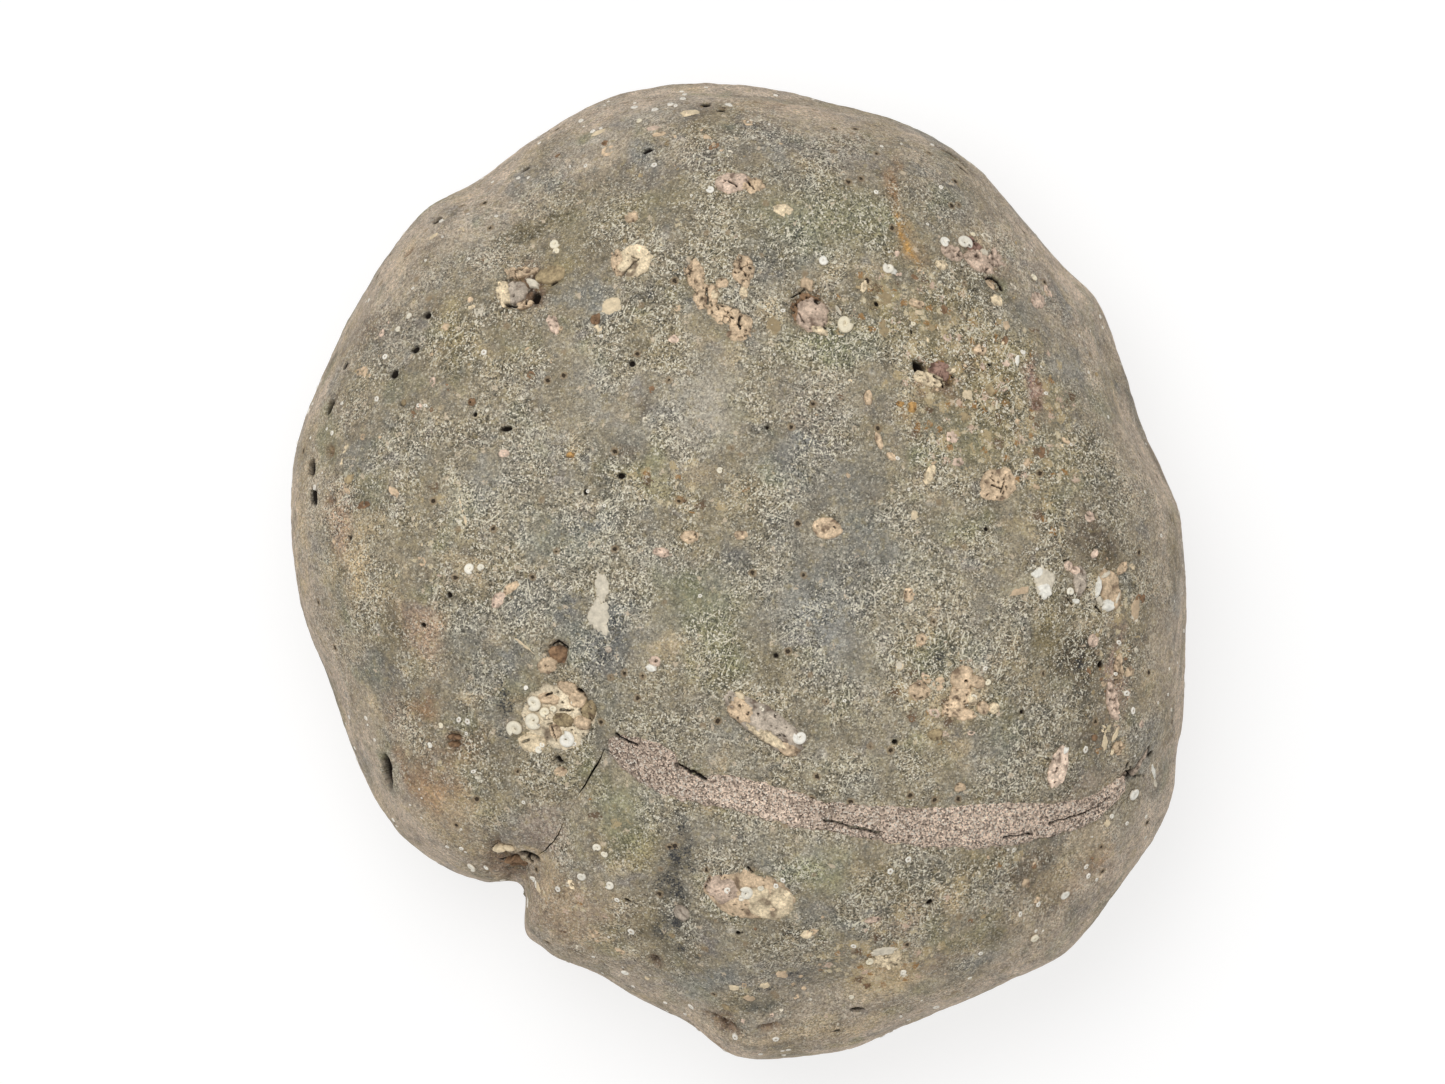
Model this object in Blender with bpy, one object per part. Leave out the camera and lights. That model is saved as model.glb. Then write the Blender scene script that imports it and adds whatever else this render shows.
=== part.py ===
"""A sea-worn fossil nodule that broke across one end and was mended with sandy mortar.

Three solids, in metres with +Z up: main_stone, broken_off_piece and joint_filler. The nodule
lies on its flattest side, and its origin is on the surface it rests on, under its middle.
Every length below is in millimetres until a mesh is made from it.
"""
import math

import bmesh
import bpy
import numpy as np

MM = 0.001
CLEARANCE = 0.3                 # between the mortar and the stone on each side of it

# Overall form
CENTRE = np.array([3.0, 2.0])   # middle of the outline, where its rays start
WIDEST_LEVEL = 60.0             # height of the widest level above the table
DOME_RISE = 80.0                # from the widest level up to the top
BELLY_DROP = 66.0               # from the widest level down to the belly's full depth, below the flat
DOME_POWER = 2.4                # above 2 the dome's shoulders are square, at 2 they are round
BELLY_POWER = 2.25
OUTLINE_REACH = 0.55            # how far up and down the sides the outline's small steps run

# Outline at the widest level, anticlockwise from the right
OUTLINE = (
    (128, 3), (126, 18), (121, 30), (115, 43), (110, 59.5), (102, 78), (92, 88), (81, 100.5),
    (67, 116), (47.5, 127.5), (27, 134), (4, 139), (-16, 139.5), (-39.5, 134.5), (-53, 127),
    (-65, 118), (-73, 112), (-89, 103), (-100, 90), (-111, 72), (-119, 55), (-125, 38),
    (-127, 20), (-126, 3), (-123, -14), (-116.5, -31), (-112, -45.5), (-105, -61), (-98, -72.5),
    (-87, -82.5), (-72, -88.5), (-62, -89), (-60.5, -93), (-60, -102), (-55, -107), (-39, -115),
    (-28.5, -121.5), (-13, -129.5), (-1, -138), (15, -139), (32, -136.5), (47, -130), (75, -118),
    (92, -110), (108, -92), (115.5, -82), (122, -70.5), (126.5, -55.5), (128, -37.5), (128, -20),
)
LOW_HARMONICS = 4               # of the outline, kept all the way up and down

# Long swells over the whole surface
SWELL_SEED = 5
SWELL_COUNT = 14
SWELL_LENGTHS = (55.0, 130.0)
SWELL_STEEPNESS = 0.011
SWELL_CALM = 15.0               # half height of the band round the widest level that they fade in

# Broad lumps and hollows: x, y, reach, rise
TOP_FORMS = (
    (-8, 42, 46, 2.5), (-62, 97, 13, -2.6), (-49, 107, 12, -2.2), (-34, 113, 12, -1.5),
    (12, 90, 14, -1.4), (24, 82, 12, -1.2), (104, 30, 22, 2.2), (99, -27, 20, -2.2),
    (-96, 88, 18, 2.0), (-104, -8, 22, 1.6), (20, -78, 14, 2.6), (38, -83, 13, 2.2),
    (-52, -100, 15, 2.4), (24, -119, 15, -4.0), (88, -92, 20, -3.2), (-19, -92, 12, -2.0),
    (60, 108, 20, 2.2), (0, -133, 12, 2.0), (-86, -64, 20, 2.2),
)
BELLY_FORMS = (
    (-88, 40, 26, -4.0), (78, 62, 30, 3.5), (92, -14, 24, -4.0), (-80, -46, 26, 3.5),
    (10, 104, 26, -3.5), (-48, 92, 22, 3.0), (30, -108, 22, -3.5), (-34, -98, 16, 2.5),
    (70, -80, 22, 3.0),
)

# Borings, pits and hollows: x, y, radius, depth
TOP_PITS = (
    (-62, 81, 6.5, 3.6), (-29.5, 88, 5.5, 2.0), (0, 109.5, 6.5, 1.8), (-10.5, 81, 4, 2.6),
    (-6, 75, 4.5, 2.6), (1, 70, 4, 2.2), (20.5, 74.5, 6, 3.6), (66, 88, 7, 2.6),
    (51.5, 58, 3.2, 4.5), (58.5, 56, 4, 2.2), (73, 24.5, 5.5, 2.0), (25.5, 12.5, 4, 1.8),
    (-50.5, -22, 3.5, 4.0), (-53, -41, 13, 2.6), (-100, -57, 5, 5.0), (-114, 46, 3, 3.5),
    (-118.5, 29, 3.4, 3.5), (-81, -48, 3.4, 3.5), (113, -58, 4, 3.0), (-65, -85, 6.5, 4.5),
    (4, -92, 12, 2.0), (42.5, -110.5, 5.5, 2.0), (92.5, -56, 5, 1.8), (34.5, -125.5, 3.5, 2.5),
    (-3.5, -128, 6, 2.5), (-85.5, 100, 3.4, 2.5), (-22.5, -111.5, 3.4, 2.5),
)
BELLY_PITS = (
    (-58, 70, 7, 4.0), (64, 74, 6, 3.5), (88, -52, 7, 4.0), (-72, -40, 6, 3.5), (20, 88, 5, 3.0),
    (-113, -12, 6, 4.0), (38, 121, 6, 3.5), (113, 32, 7, 4.0), (40, -124, 5, 3.0),
)

# Silt plugs, barnacles and worm tubes grown fast to the stone: x, y, radius, rise
GROWTHS = (
    (-63, 82, 4, 2.8), (-2.5, -36, 4, 2.2), (4.5, -40, 4, 2.6), (12, -45, 4, 2.6),
    (19, -51, 4, 2.4), (31.5, 70, 3.2, 2.4), (-57, -36, 3.2, 2.2), (-51, -44, 3.2, 2.4),
    (-60, -44, 2.8, 2.0), (-46, -37, 3.2, 2.0), (104, -5, 4.5, 3.0), (87, -4, 3.6, 2.0),
    (95.5, -2, 3.6, 2.2), (-51.5, 92, 3, 2.2), (63.5, -29, 3.2, 2.0), (66.5, -36, 4, 2.4),
    (2, -90, 5, 1.8), (9, -93, 5, 1.6), (38, -111.5, 3.6, 2.2), (94.5, -92.5, 3, 1.8),
    (65, 93, 3, 2.0), (-39.5, -11.5, 4, 1.2),
)

# The break: x and y at BREAK_LEVEL, from beyond the notch on the left to beyond the right side
BREAK_LEVEL = 138.0
BREAK_LINE = (
    (-160, -200), (-75, -105), (-60.5, -81.5), (-52, -74), (-45, -61.5), (-37.5, -49.5),
    (-28, -53), (-17, -57.5), (-8.5, -62), (2.5, -63), (15, -66), (25, -68.5), (39.5, -70.5),
    (53.5, -72), (68, -72), (80, -71), (91, -70), (99, -67.5), (104, -64.5), (111, -58),
    (118, -52.5), (122, -48), (160, -30),
)
BREAK_LEAN = 0.10               # the break leans under the main stone by this much for each unit down
BREAK_WANDER = 3.0              # how far it strays from that plane, low on the sides and beneath
BREAK_LEVELS = np.linspace(-30, 180, 15)
BREAK_SHIFT = np.array([0.2, -0.3])   # moves its line to the broken-off piece's side of the gap
BREAK_VALLEY = (6.0, 1.2)       # half width and depth of the worn valley along it
BEYOND = -240.0                 # y past the whole nodule

# The mortar: x, upper edge and lower edge of its strip on the surface, and its depth
FILLER_STRIP = (
    (-36, -48, -52, 2.5), (-33, -46.5, -55.5, 4), (-28, -46.7, -59.5, 6), (-22, -48, -62.4, 7),
    (-17.4, -50.6, -64, 7), (-16.2, -54.6, -64.4, 7), (-8.5, -58, -66, 7), (-4.5, -56.8, -66.6, 7),
    (2.5, -58, -68, 7), (15, -61.6, -71.2, 7), (25, -65, -72.4, 7), (39.5, -66, -75.2, 7),
    (53.5, -67, -78, 7), (68, -66.2, -79, 7), (80, -66, -78.6, 6), (91, -66.8, -77.2, 6),
    (99, -66.2, -73.8, 5), (104, -64.4, -70.4, 4), (111, -59.8, -62.8, 2.5),
)
FILLER_FOOT = 1.2               # width of the wedge's foot
FILLER_HEADROOM = 12.0          # how far the wedge that cuts its groove stands above the surface
FILLER_SINK = 0.3               # how far the mortar lies under the stone's surface

# Mesh sizes
START_SUBDIVISIONS = 3
COARSE_EDGE = 17.0
FEATURE_EDGE = 0.85             # edge length on a feature, as a share of its radius
EDGE_GROWTH = 1.1               # how fast edges lengthen away from a feature
REFINE_ROUNDS = 5


def outline_radius(angle):
    """Distance from CENTRE to the outline, on a smooth closed curve through its points."""
    points = np.array(OUTLINE) - CENTRE
    knots = np.arctan2(points[:, 1], points[:, 0])
    order = np.argsort(knots)
    knots = knots[order]
    radii = np.hypot(points[:, 0], points[:, 1])[order]
    knots = np.concatenate([knots - 2 * math.pi, knots, knots + 2 * math.pi])
    radii = np.tile(radii, 3)
    slopes = np.gradient(radii, knots)
    k = np.searchsorted(knots, angle) - 1
    span = knots[k + 1] - knots[k]
    t = (angle - knots[k]) / span
    start = (1 + 2 * t) * (1 - t) ** 2 * radii[k] + t * (1 - t) ** 2 * span * slopes[k]
    end = t * t * (3 - 2 * t) * radii[k + 1] + t * t * (t - 1) * span * slopes[k + 1]
    return start + end


def smooth_radius(angle):
    """The outline's radius with only its lowest harmonics."""
    around = np.linspace(-math.pi, math.pi, 360, endpoint=False)
    parts = np.fft.rfft(outline_radius(around)) / len(around)
    total = np.full(angle.shape, parts[0].real)
    for n in range(1, LOW_HARMONICS + 1):
        turned = parts[n] * np.exp(1j * n * (angle + math.pi))
        total = total + 2 * turned.real
    return total


def form_normals(angle, radius, out, up):
    """Outward normals of the plain nodule, from how far out and up each point is, 0 to 1."""
    power = np.where(up > 0, DOME_POWER, BELLY_POWER)
    height = np.where(up > 0, DOME_RISE, BELLY_DROP)
    lean = out ** (power - 1) / radius
    rise = np.abs(up) ** (power - 1) * np.sign(up) / height
    normals = np.stack([lean * np.cos(angle), lean * np.sin(angle), rise], axis=1)
    return normals / np.linalg.norm(normals, axis=1)[:, None]


def bare_form(rays):
    """Points and outward normals of the plain nodule along unit rays."""
    angle = np.arctan2(rays[:, 1], rays[:, 0])
    rise = rays[:, 2]
    level = np.hypot(rays[:, 0], rays[:, 1])
    power = np.where(rise > 0, DOME_POWER, BELLY_POWER)
    height = np.where(rise > 0, DOME_RISE, BELLY_DROP)
    share = np.exp(-(rise / OUTLINE_REACH) ** 2)
    radius = smooth_radius(angle) * (1 - share) + outline_radius(angle) * share
    out = level ** (2 / power)
    up = np.abs(rise) ** (2 / power) * np.sign(rise)
    points = np.stack([CENTRE[0] + radius * out * np.cos(angle),
                       CENTRE[1] + radius * out * np.sin(angle),
                       WIDEST_LEVEL + height * up], axis=1)
    return points, form_normals(angle, radius, out, up)


def on_form(x, y, side):
    """The point of the plain nodule over x, y: on the dome if side is 1, on the belly if -1."""
    dx, dy = x - CENTRE[0], y - CENTRE[1]
    angle = np.array([math.atan2(dy, dx)])
    out = math.hypot(dx, dy) / float(outline_radius(angle)[0])
    power, height = (DOME_POWER, DOME_RISE) if side > 0 else (BELLY_POWER, BELLY_DROP)
    up = max(0.0, 1 - min(out, 1.0) ** power) ** (1 / power)
    return np.array([x, y, WIDEST_LEVEL + side * height * up])


def surface_level(x, y):
    """Height of the whole nodule's top over x, y."""
    point = on_form(x, y, 1)
    dx, dy = x - CENTRE[0], y - CENTRE[1]
    angle = np.array([math.atan2(dy, dx)])
    radius = outline_radius(angle)
    up = np.array([(point[2] - WIDEST_LEVEL) / DOME_RISE])
    normal = form_normals(angle, radius, np.hypot(dx, dy) / radius, up)[0]
    return point[2] + float(relief(point[None, :])[0]) / normal[2]


def swells(points):
    """Long, low waves running all ways through the stone."""
    rng = np.random.default_rng(SWELL_SEED)
    total = np.zeros(len(points))
    for _ in range(SWELL_COUNT):
        heading = rng.normal(size=3)
        length = rng.uniform(*SWELL_LENGTHS)
        phase = rng.uniform(0, 2 * math.pi)
        wave = points @ (heading / np.linalg.norm(heading)) * (2 * math.pi / length) + phase
        total = total + SWELL_STEEPNESS * length / 2 * np.sin(wave)
    return total * (1 - 0.9 * np.exp(-((points[:, 2] - WIDEST_LEVEL) / SWELL_CALM) ** 2))


def break_y(x, z):
    """Where the break runs, as y over x and z."""
    line = np.array(BREAK_LINE, dtype=float)
    y = np.interp(x, line[:, 0], line[:, 1]) + BREAK_LEAN * (z - BREAK_LEVEL)
    low = np.clip((112 - z) / 30, 0, 1)
    return y + BREAK_WANDER * low * (np.sin(z / 13 + x / 37) + 0.6 * np.sin(x / 11 - z / 9))


def features():
    """Every feature as its middle, reach, rise and the power of its profile."""
    found = []
    for table, side, sign, power in ((TOP_FORMS, 1, 1, 2), (BELLY_FORMS, -1, 1, 2),
                                     (TOP_PITS, 1, -1, 4), (BELLY_PITS, -1, -1, 4),
                                     (GROWTHS, 1, 1, 4)):
        for x, y, reach, rise in table:
            found.append((on_form(x, y, side), reach, sign * rise, power))
    return found


def relief(points):
    """How far the whole nodule's skin stands out from the plain form at its points."""
    rise = swells(points)
    for middle, reach, height, power in features():
        distance = np.linalg.norm(points - middle, axis=1)
        rise = rise + height * np.exp(-(distance / reach) ** power)
    reach, depth = BREAK_VALLEY
    gap = points[:, 1] - break_y(points[:, 0], points[:, 2])
    return rise - depth * np.exp(-(gap / reach) ** 2)


def nodule(rays):
    """Points of the whole nodule along unit rays, before it broke."""
    points, normals = bare_form(rays)
    return points + normals * relief(points)[:, None]


def edge_target(points):
    """The longest edge wanted at each point: short on pits and growths, long on the plain stone."""
    target = np.full(len(points), COARSE_EDGE)
    for middle, reach, _, power in features():
        if power > 2:
            beyond = np.maximum(0, np.linalg.norm(points - middle, axis=1) - 1.2 * reach)
            target = np.minimum(target, FEATURE_EDGE * reach + EDGE_GROWTH * beyond)
    return target


def refine(rays, faces):
    """One round of splitting every edge that is longer than it should be, keeping the skin closed."""
    edges = np.sort(faces[:, [[0, 1], [1, 2], [2, 0]]].reshape(-1, 2), axis=1)
    edges, of_face = np.unique(edges, axis=0, return_inverse=True)
    of_face = of_face.reshape(-1, 3)
    points = nodule(rays)
    ends = points[edges]
    length = np.linalg.norm(ends[:, 0] - ends[:, 1], axis=1)
    split = length > edge_target(ends.mean(axis=1))
    middles = rays[edges[split]].mean(axis=1)
    middles = middles / np.linalg.norm(middles, axis=1)[:, None]
    number = np.full(len(edges), -1)
    number[split] = len(rays) + np.arange(int(split.sum()))
    result = []
    for corners, mids in zip(faces, number[of_face]):
        result.extend(split_face([int(c) for c in corners], [int(m) for m in mids]))
    return np.concatenate([rays, middles]), np.array(result)


def split_face(corners, mids):
    """The triangles that one triangle becomes, given the new points on its edges (-1 for none)."""
    count = sum(m >= 0 for m in mids)
    if count == 0:
        return [corners]
    if count == 3:
        a, b, c = corners
        ab, bc, ca = mids
        return [[a, ab, ca], [ab, b, bc], [ca, bc, c], [ab, bc, ca]]
    start = 0
    while not (mids[start] >= 0 and (count == 1 or mids[(start + 1) % 3] >= 0)):
        start += 1
    a, b, c = (corners[(start + i) % 3] for i in range(3))
    ab, bc = mids[start], mids[(start + 1) % 3]
    if count == 1:
        return [[a, ab, c], [ab, b, c]]
    return [[a, ab, c], [ab, bc, c], [ab, b, bc]]


def nodule_mesh(name, sink=0.0):
    """The unbroken nodule as a mesh, cut off flat where it rests, its skin sunk by a little."""
    bm = bmesh.new()
    bmesh.ops.create_icosphere(bm, subdivisions=START_SUBDIVISIONS, radius=1)
    rays = np.array([v.co[:] for v in bm.verts])
    faces = np.array([[v.index for v in f.verts] for f in bm.faces])
    bm.free()
    for _ in range(REFINE_ROUNDS):
        rays, faces = refine(rays, faces)
    points = nodule(rays) - sink * bare_form(rays)[1]
    mesh = bpy.data.meshes.new(name)
    mesh.from_pydata((points * MM).tolist(), [], faces.tolist())
    bm = bmesh.new()
    bm.from_mesh(mesh)
    everything = bm.verts[:] + bm.edges[:] + bm.faces[:]
    cut = bmesh.ops.bisect_plane(bm, geom=everything, plane_co=(0, 0, 0), plane_no=(0, 0, -1),
                                 clear_outer=True, dist=1e-6)
    rim = [e for e in cut["geom_cut"] if isinstance(e, bmesh.types.BMEdge)]
    bmesh.ops.contextual_create(bm, geom=rim)
    bmesh.ops.triangulate(bm, faces=bm.faces[:])
    bm.to_mesh(mesh)
    bm.free()
    return mesh


def solid_from(name, points, faces):
    """A closed mesh from points in millimetres, its faces turned outward."""
    mesh = bpy.data.meshes.new(name)
    mesh.from_pydata((np.array(points) * MM).tolist(), [], faces)
    bm = bmesh.new()
    bm.from_mesh(mesh)
    bmesh.ops.triangulate(bm, faces=bm.faces[:])
    bmesh.ops.recalc_face_normals(bm, faces=bm.faces[:])
    bm.to_mesh(mesh)
    bm.free()
    return mesh


def break_block(name, shift, far):
    """All the space on one side of the break, its face on the break line moved by shift."""
    columns = np.array(BREAK_LINE)[:, 0]
    points = []
    for x in columns:
        for z in BREAK_LEVELS:
            y = float(break_y(np.array(x), np.array(z)))
            points.append((x + shift[0], y + shift[1], z))
    front = len(points)
    points += [(x, far, z) for x, _, z in points]
    rows = len(BREAK_LEVELS)
    last = len(columns) - 1
    faces = []
    for i in range(last):
        for j in range(rows - 1):
            k = i * rows + j
            quad = [k, k + rows, k + rows + 1, k + 1]
            faces += [quad, [front + n for n in reversed(quad)]]
        for j in (0, rows - 1):
            k = i * rows + j
            faces.append([k, k + rows, front + k + rows, front + k])
    for i in (0, last):
        for j in range(rows - 1):
            k = i * rows + j
            faces.append([k, k + 1, front + k + 1, front + k])
    return solid_from(name, points, faces)


def filler_wedge(name, grow):
    """The mortar's wedge in the valley of the break, with its sides moved out by grow."""
    points, faces = [], []
    stations = FILLER_STRIP
    for n, (x, upper, lower, depth) in enumerate(stations):
        middle = (upper + lower) / 2
        level = surface_level(x, middle)
        slope = (upper - lower - FILLER_FOOT) / 2 / depth
        flare = slope * FILLER_HEADROOM
        ends = -grow if n == 0 else grow if n == len(stations) - 1 else 0
        foot = level - depth - grow
        high = level + FILLER_HEADROOM
        points += [(x + ends, upper + flare + grow, high), (x + ends, lower - flare - grow, high),
                   (x + ends, middle - FILLER_FOOT / 2 - grow, foot),
                   (x + ends, middle + FILLER_FOOT / 2 + grow, foot)]
        if n:
            k = 4 * (n - 1)
            faces += [[k + i, k + (i + 1) % 4, k + 4 + (i + 1) % 4, k + 4 + i] for i in range(4)]
    faces += [[0, 1, 2, 3], [len(points) - 4 + i for i in range(4)]]
    return solid_from(name, points, faces)


def material(name, colour, roughness):
    """A plain matt stone finish."""
    made = bpy.data.materials.new(name)
    made.use_nodes = True
    shader = made.node_tree.nodes["Principled BSDF"]
    shader.inputs["Base Color"].default_value = (*colour, 1)
    shader.inputs["Roughness"].default_value = roughness
    shader.inputs["Metallic"].default_value = 0
    return made


def add(mesh, finish=None):
    """An object for a mesh, in the scene."""
    made = bpy.data.objects.new(mesh.name, mesh)
    bpy.context.scene.collection.objects.link(made)
    if finish:
        mesh.materials.append(finish)
        mesh.shade_smooth()
        mesh.set_sharp_from_angle(angle=math.radians(50))
    else:
        made.hide_render = True
        made.display_type = "WIRE"
    return made


def cut(target, tool, operation):
    """Cuts a piece with a tool, or keeps only what is inside it."""
    modifier = target.modifiers.new(tool.name, "BOOLEAN")
    modifier.operation = operation
    modifier.object = tool


def build():
    for old in list(bpy.data.objects):
        bpy.data.objects.remove(old, do_unlink=True)
    stone = material("worn_stone", (0.34, 0.29, 0.21), 0.9)
    mortar = material("sandy_mortar", (0.42, 0.34, 0.27), 0.95)
    main_stone = add(nodule_mesh("main_stone"), stone)
    broken_off = add(nodule_mesh("broken_off_piece"), stone)
    filler = add(nodule_mesh("joint_filler", FILLER_SINK), mortar)
    below_break = add(break_block("below_break", np.zeros(2), BEYOND))
    above_break = add(break_block("above_break", BREAK_SHIFT, -BEYOND))
    groove = add(filler_wedge("groove", CLEARANCE))
    wedge = add(filler_wedge("wedge", 0.0))
    cut(main_stone, below_break, "DIFFERENCE")
    cut(main_stone, groove, "DIFFERENCE")
    cut(broken_off, above_break, "DIFFERENCE")
    cut(broken_off, groove, "DIFFERENCE")
    cut(filler, wedge, "INTERSECT")


build()
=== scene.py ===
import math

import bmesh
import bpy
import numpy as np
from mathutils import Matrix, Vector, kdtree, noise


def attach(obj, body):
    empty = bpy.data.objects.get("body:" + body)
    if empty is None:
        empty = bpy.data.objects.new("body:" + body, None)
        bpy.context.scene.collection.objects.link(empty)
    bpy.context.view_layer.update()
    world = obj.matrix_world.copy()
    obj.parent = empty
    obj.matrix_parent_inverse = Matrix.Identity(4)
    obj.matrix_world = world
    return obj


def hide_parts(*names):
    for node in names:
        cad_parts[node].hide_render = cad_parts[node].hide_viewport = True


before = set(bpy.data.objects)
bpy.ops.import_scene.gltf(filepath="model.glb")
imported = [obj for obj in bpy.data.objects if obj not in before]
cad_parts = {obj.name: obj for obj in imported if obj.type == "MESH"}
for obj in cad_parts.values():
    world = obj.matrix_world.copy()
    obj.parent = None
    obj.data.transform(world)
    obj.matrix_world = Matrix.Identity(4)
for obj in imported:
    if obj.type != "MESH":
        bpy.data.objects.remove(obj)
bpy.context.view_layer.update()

# Looks of a sea-worn fossil nodule that broke across one end and was mended with sandy mortar.
# The stones and the mortar take the form of their solids, with the fine surface added: borings
# with silt in them, barnacles, coiled worm tubes, cracks, stains and grain. Lengths are in
# millimetres until a mesh is made from them, with x and y as seen from above.

MM = 0.001

# ---------------------------------------------------------------- form, as in the solids

CENTRE = np.array([3.0, 2.0])
WIDEST_LEVEL = 60.0
DOME_RISE = 80.0
BELLY_DROP = 66.0
DOME_POWER = 2.4
BELLY_POWER = 2.25
OUTLINE_REACH = 0.55
OUTLINE = (
    (128, 3), (126, 18), (121, 30), (115, 43), (110, 59.5), (102, 78), (92, 88), (81, 100.5),
    (67, 116), (47.5, 127.5), (27, 134), (4, 139), (-16, 139.5), (-39.5, 134.5), (-53, 127),
    (-65, 118), (-73, 112), (-89, 103), (-100, 90), (-111, 72), (-119, 55), (-125, 38),
    (-127, 20), (-126, 3), (-123, -14), (-116.5, -31), (-112, -45.5), (-105, -61), (-98, -72.5),
    (-87, -82.5), (-72, -88.5), (-62, -89), (-60.5, -93), (-60, -102), (-55, -107), (-39, -115),
    (-28.5, -121.5), (-13, -129.5), (-1, -138), (15, -139), (32, -136.5), (47, -130), (75, -118),
    (92, -110), (108, -92), (115.5, -82), (122, -70.5), (126.5, -55.5), (128, -37.5), (128, -20),
)
LOW_HARMONICS = 4
SWELL_SEED = 5
SWELL_COUNT = 14
SWELL_LENGTHS = (55.0, 130.0)
SWELL_STEEPNESS = 0.011
SWELL_CALM = 15.0
TOP_FORMS = (
    (-8, 42, 46, 2.5), (-62, 97, 13, -2.6), (-49, 107, 12, -2.2), (-34, 113, 12, -1.5),
    (12, 90, 14, -1.4), (24, 82, 12, -1.2), (104, 30, 22, 2.2), (99, -27, 20, -2.2),
    (-96, 88, 18, 2.0), (-104, -8, 22, 1.6), (20, -78, 14, 2.6), (38, -83, 13, 2.2),
    (-52, -100, 15, 2.4), (24, -119, 15, -4.0), (88, -92, 20, -3.2), (-19, -92, 12, -2.0),
    (60, 108, 20, 2.2), (0, -133, 12, 2.0), (-86, -64, 20, 2.2),
)
BELLY_FORMS = (
    (-88, 40, 26, -4.0), (78, 62, 30, 3.5), (92, -14, 24, -4.0), (-80, -46, 26, 3.5),
    (10, 104, 26, -3.5), (-48, 92, 22, 3.0), (30, -108, 22, -3.5), (-34, -98, 16, 2.5),
    (70, -80, 22, 3.0),
)
BREAK_LEVEL = 138.0
BREAK_LINE = (
    (-160, -200), (-75, -105), (-60.5, -81.5), (-52, -74), (-45, -61.5), (-37.5, -49.5),
    (-28, -53), (-17, -57.5), (-8.5, -62), (2.5, -63), (15, -66), (25, -68.5), (39.5, -70.5),
    (53.5, -72), (68, -72), (80, -71), (91, -70), (99, -67.5), (104, -64.5), (111, -58),
    (118, -52.5), (122, -48), (160, -30),
)
BREAK_LEAN = 0.10
BREAK_WANDER = 3.0
BREAK_VALLEY = (6.0, 1.2)
FILLER_STRIP = (
    (-36.5, -48, -52), (-33, -46.5, -55.5), (-28, -46.7, -59.5), (-22, -48, -62.4),
    (-17.4, -50.6, -64), (-16.2, -54.6, -64.4), (-8.5, -58, -66), (-4.5, -56.8, -66.6),
    (2.5, -58, -68), (15, -61.6, -71.2), (25, -65, -72.4), (39.5, -66, -75.2),
    (53.5, -67, -78), (68, -66.2, -79), (80, -66, -78.6), (91, -66.8, -77.2),
    (99, -66.0, -74.2), (104, -63.8, -71.4), (108, -61, -67.6), (111.5, -59.2, -63),
)

# ---------------------------------------------------------------- what has grown or worn on it

# Small holes, painted near black inside as shade: x, y, half width, half height, turn in degrees, depth
HOLES = (
    (-114, 46, 1.4, 2.1, -35, 3.5), (-118.5, 29, 1.9, 2.5, 20, 3.5), (-117.5, 21, 1.6, 2.4, 0, 1.6),
    (-99.2, -57, 2.2, 5.2, 8, 4.5), (-85.5, 100, 1.3, 1.3, 0, 2.5), (-61, 116, 1.3, 1.2, 0, 2.0),
    (-9, 133.5, 1.3, 0.8, 0, 1.5), (-87.5, 72.5, 1.0, 1.0, 0, 1.6), (-96, 55.5, 1.3, 1.3, 0, 1.4),
    (-90.5, 62.5, 1.0, 1.0, 0, 1.4), (-110.5, 58, 1.1, 1.1, 0, 1.5), (-65.5, 40.5, 1.5, 0.8, 0, 2.4),
    (-32.5, 27, 1.1, 0.8, 0, 2.0), (-29.5, 58.5, 0.8, 0.8, 0, 1.2), (-42.5, 22.5, 0.7, 0.9, 0, 1.2),
    (-102.5, 19, 0.9, 0.8, 0, 1.2), (-81, -6.5, 0.7, 0.7, 0, 1.2), (-88.5, -15, 0.7, 0.6, 0, 1.2),
    (11, -23.5, 0.7, 0.7, 0, 1.2), (39.5, 76, 0.7, 0.7, 0, 1.2), (34.5, -125.5, 2.1, 0.8, -10, 3.0),
    (28.5, -131, 0.9, 0.7, 0, 1.6), (44.5, -48, 0.8, 0.7, 0, 1.4), (103.5, -26.5, 1.0, 1.2, 0, 1.6),
    (54.5, -93.5, 0.8, 0.8, 0, 1.4), (51.9, 57.8, 1.6, 2.4, 28, 5.0), (-31, -93.5, 0.9, 0.4, -40, 1.2),
    (-51.2, -54.3, 1.5, 0.8, -40, 2.6), (-59.6, -81, 3.0, 1.3, -20, 3.0), (113.5, -58.3, 2.6, 1.2, -3, 3.0),
    (-57.2, 85.5, 1.5, 1.1, 0, 2.4), (-57.9, 78.4, 1.2, 1.7, -30, 2.4), (2.2, 87.8, 0.7, 1.4, 16, 2.0),
    (0.4, -102.1, 0.6, 0.6, 0, 1.5), (-107.4, 9.5, 0.8, 0.6, 0, 1.0), (-25.5, 120.5, 1.4, 0.8, 10, 1.4),
    (-93.5, 47, 0.8, 0.7, 0, 1.2), (-74, 44.5, 0.6, 0.8, 0, 1.0), (70.5, 12, 0.6, 0.6, 0, 1.0),
    (8.5, 40.5, 0.7, 0.6, 0, 1.0), (74.4, 107, 1.3, 0.7, -48, 1.4), (63.4, 112.8, 1.7, 0.6, -22, 1.2),
    (-4.5, 131, 1.0, 0.8, 0, 1.4), (81, -40, 0.6, 0.6, 0, 1.0),
    (118, -51.8, 1.0, 1.5, -20, 2.6), (112.2, -55.6, 0.6, 0.8, -20, 1.6),
)
HOLE_EDGE = 0.34                # edge length in a hole, as a share of its half width
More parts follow.
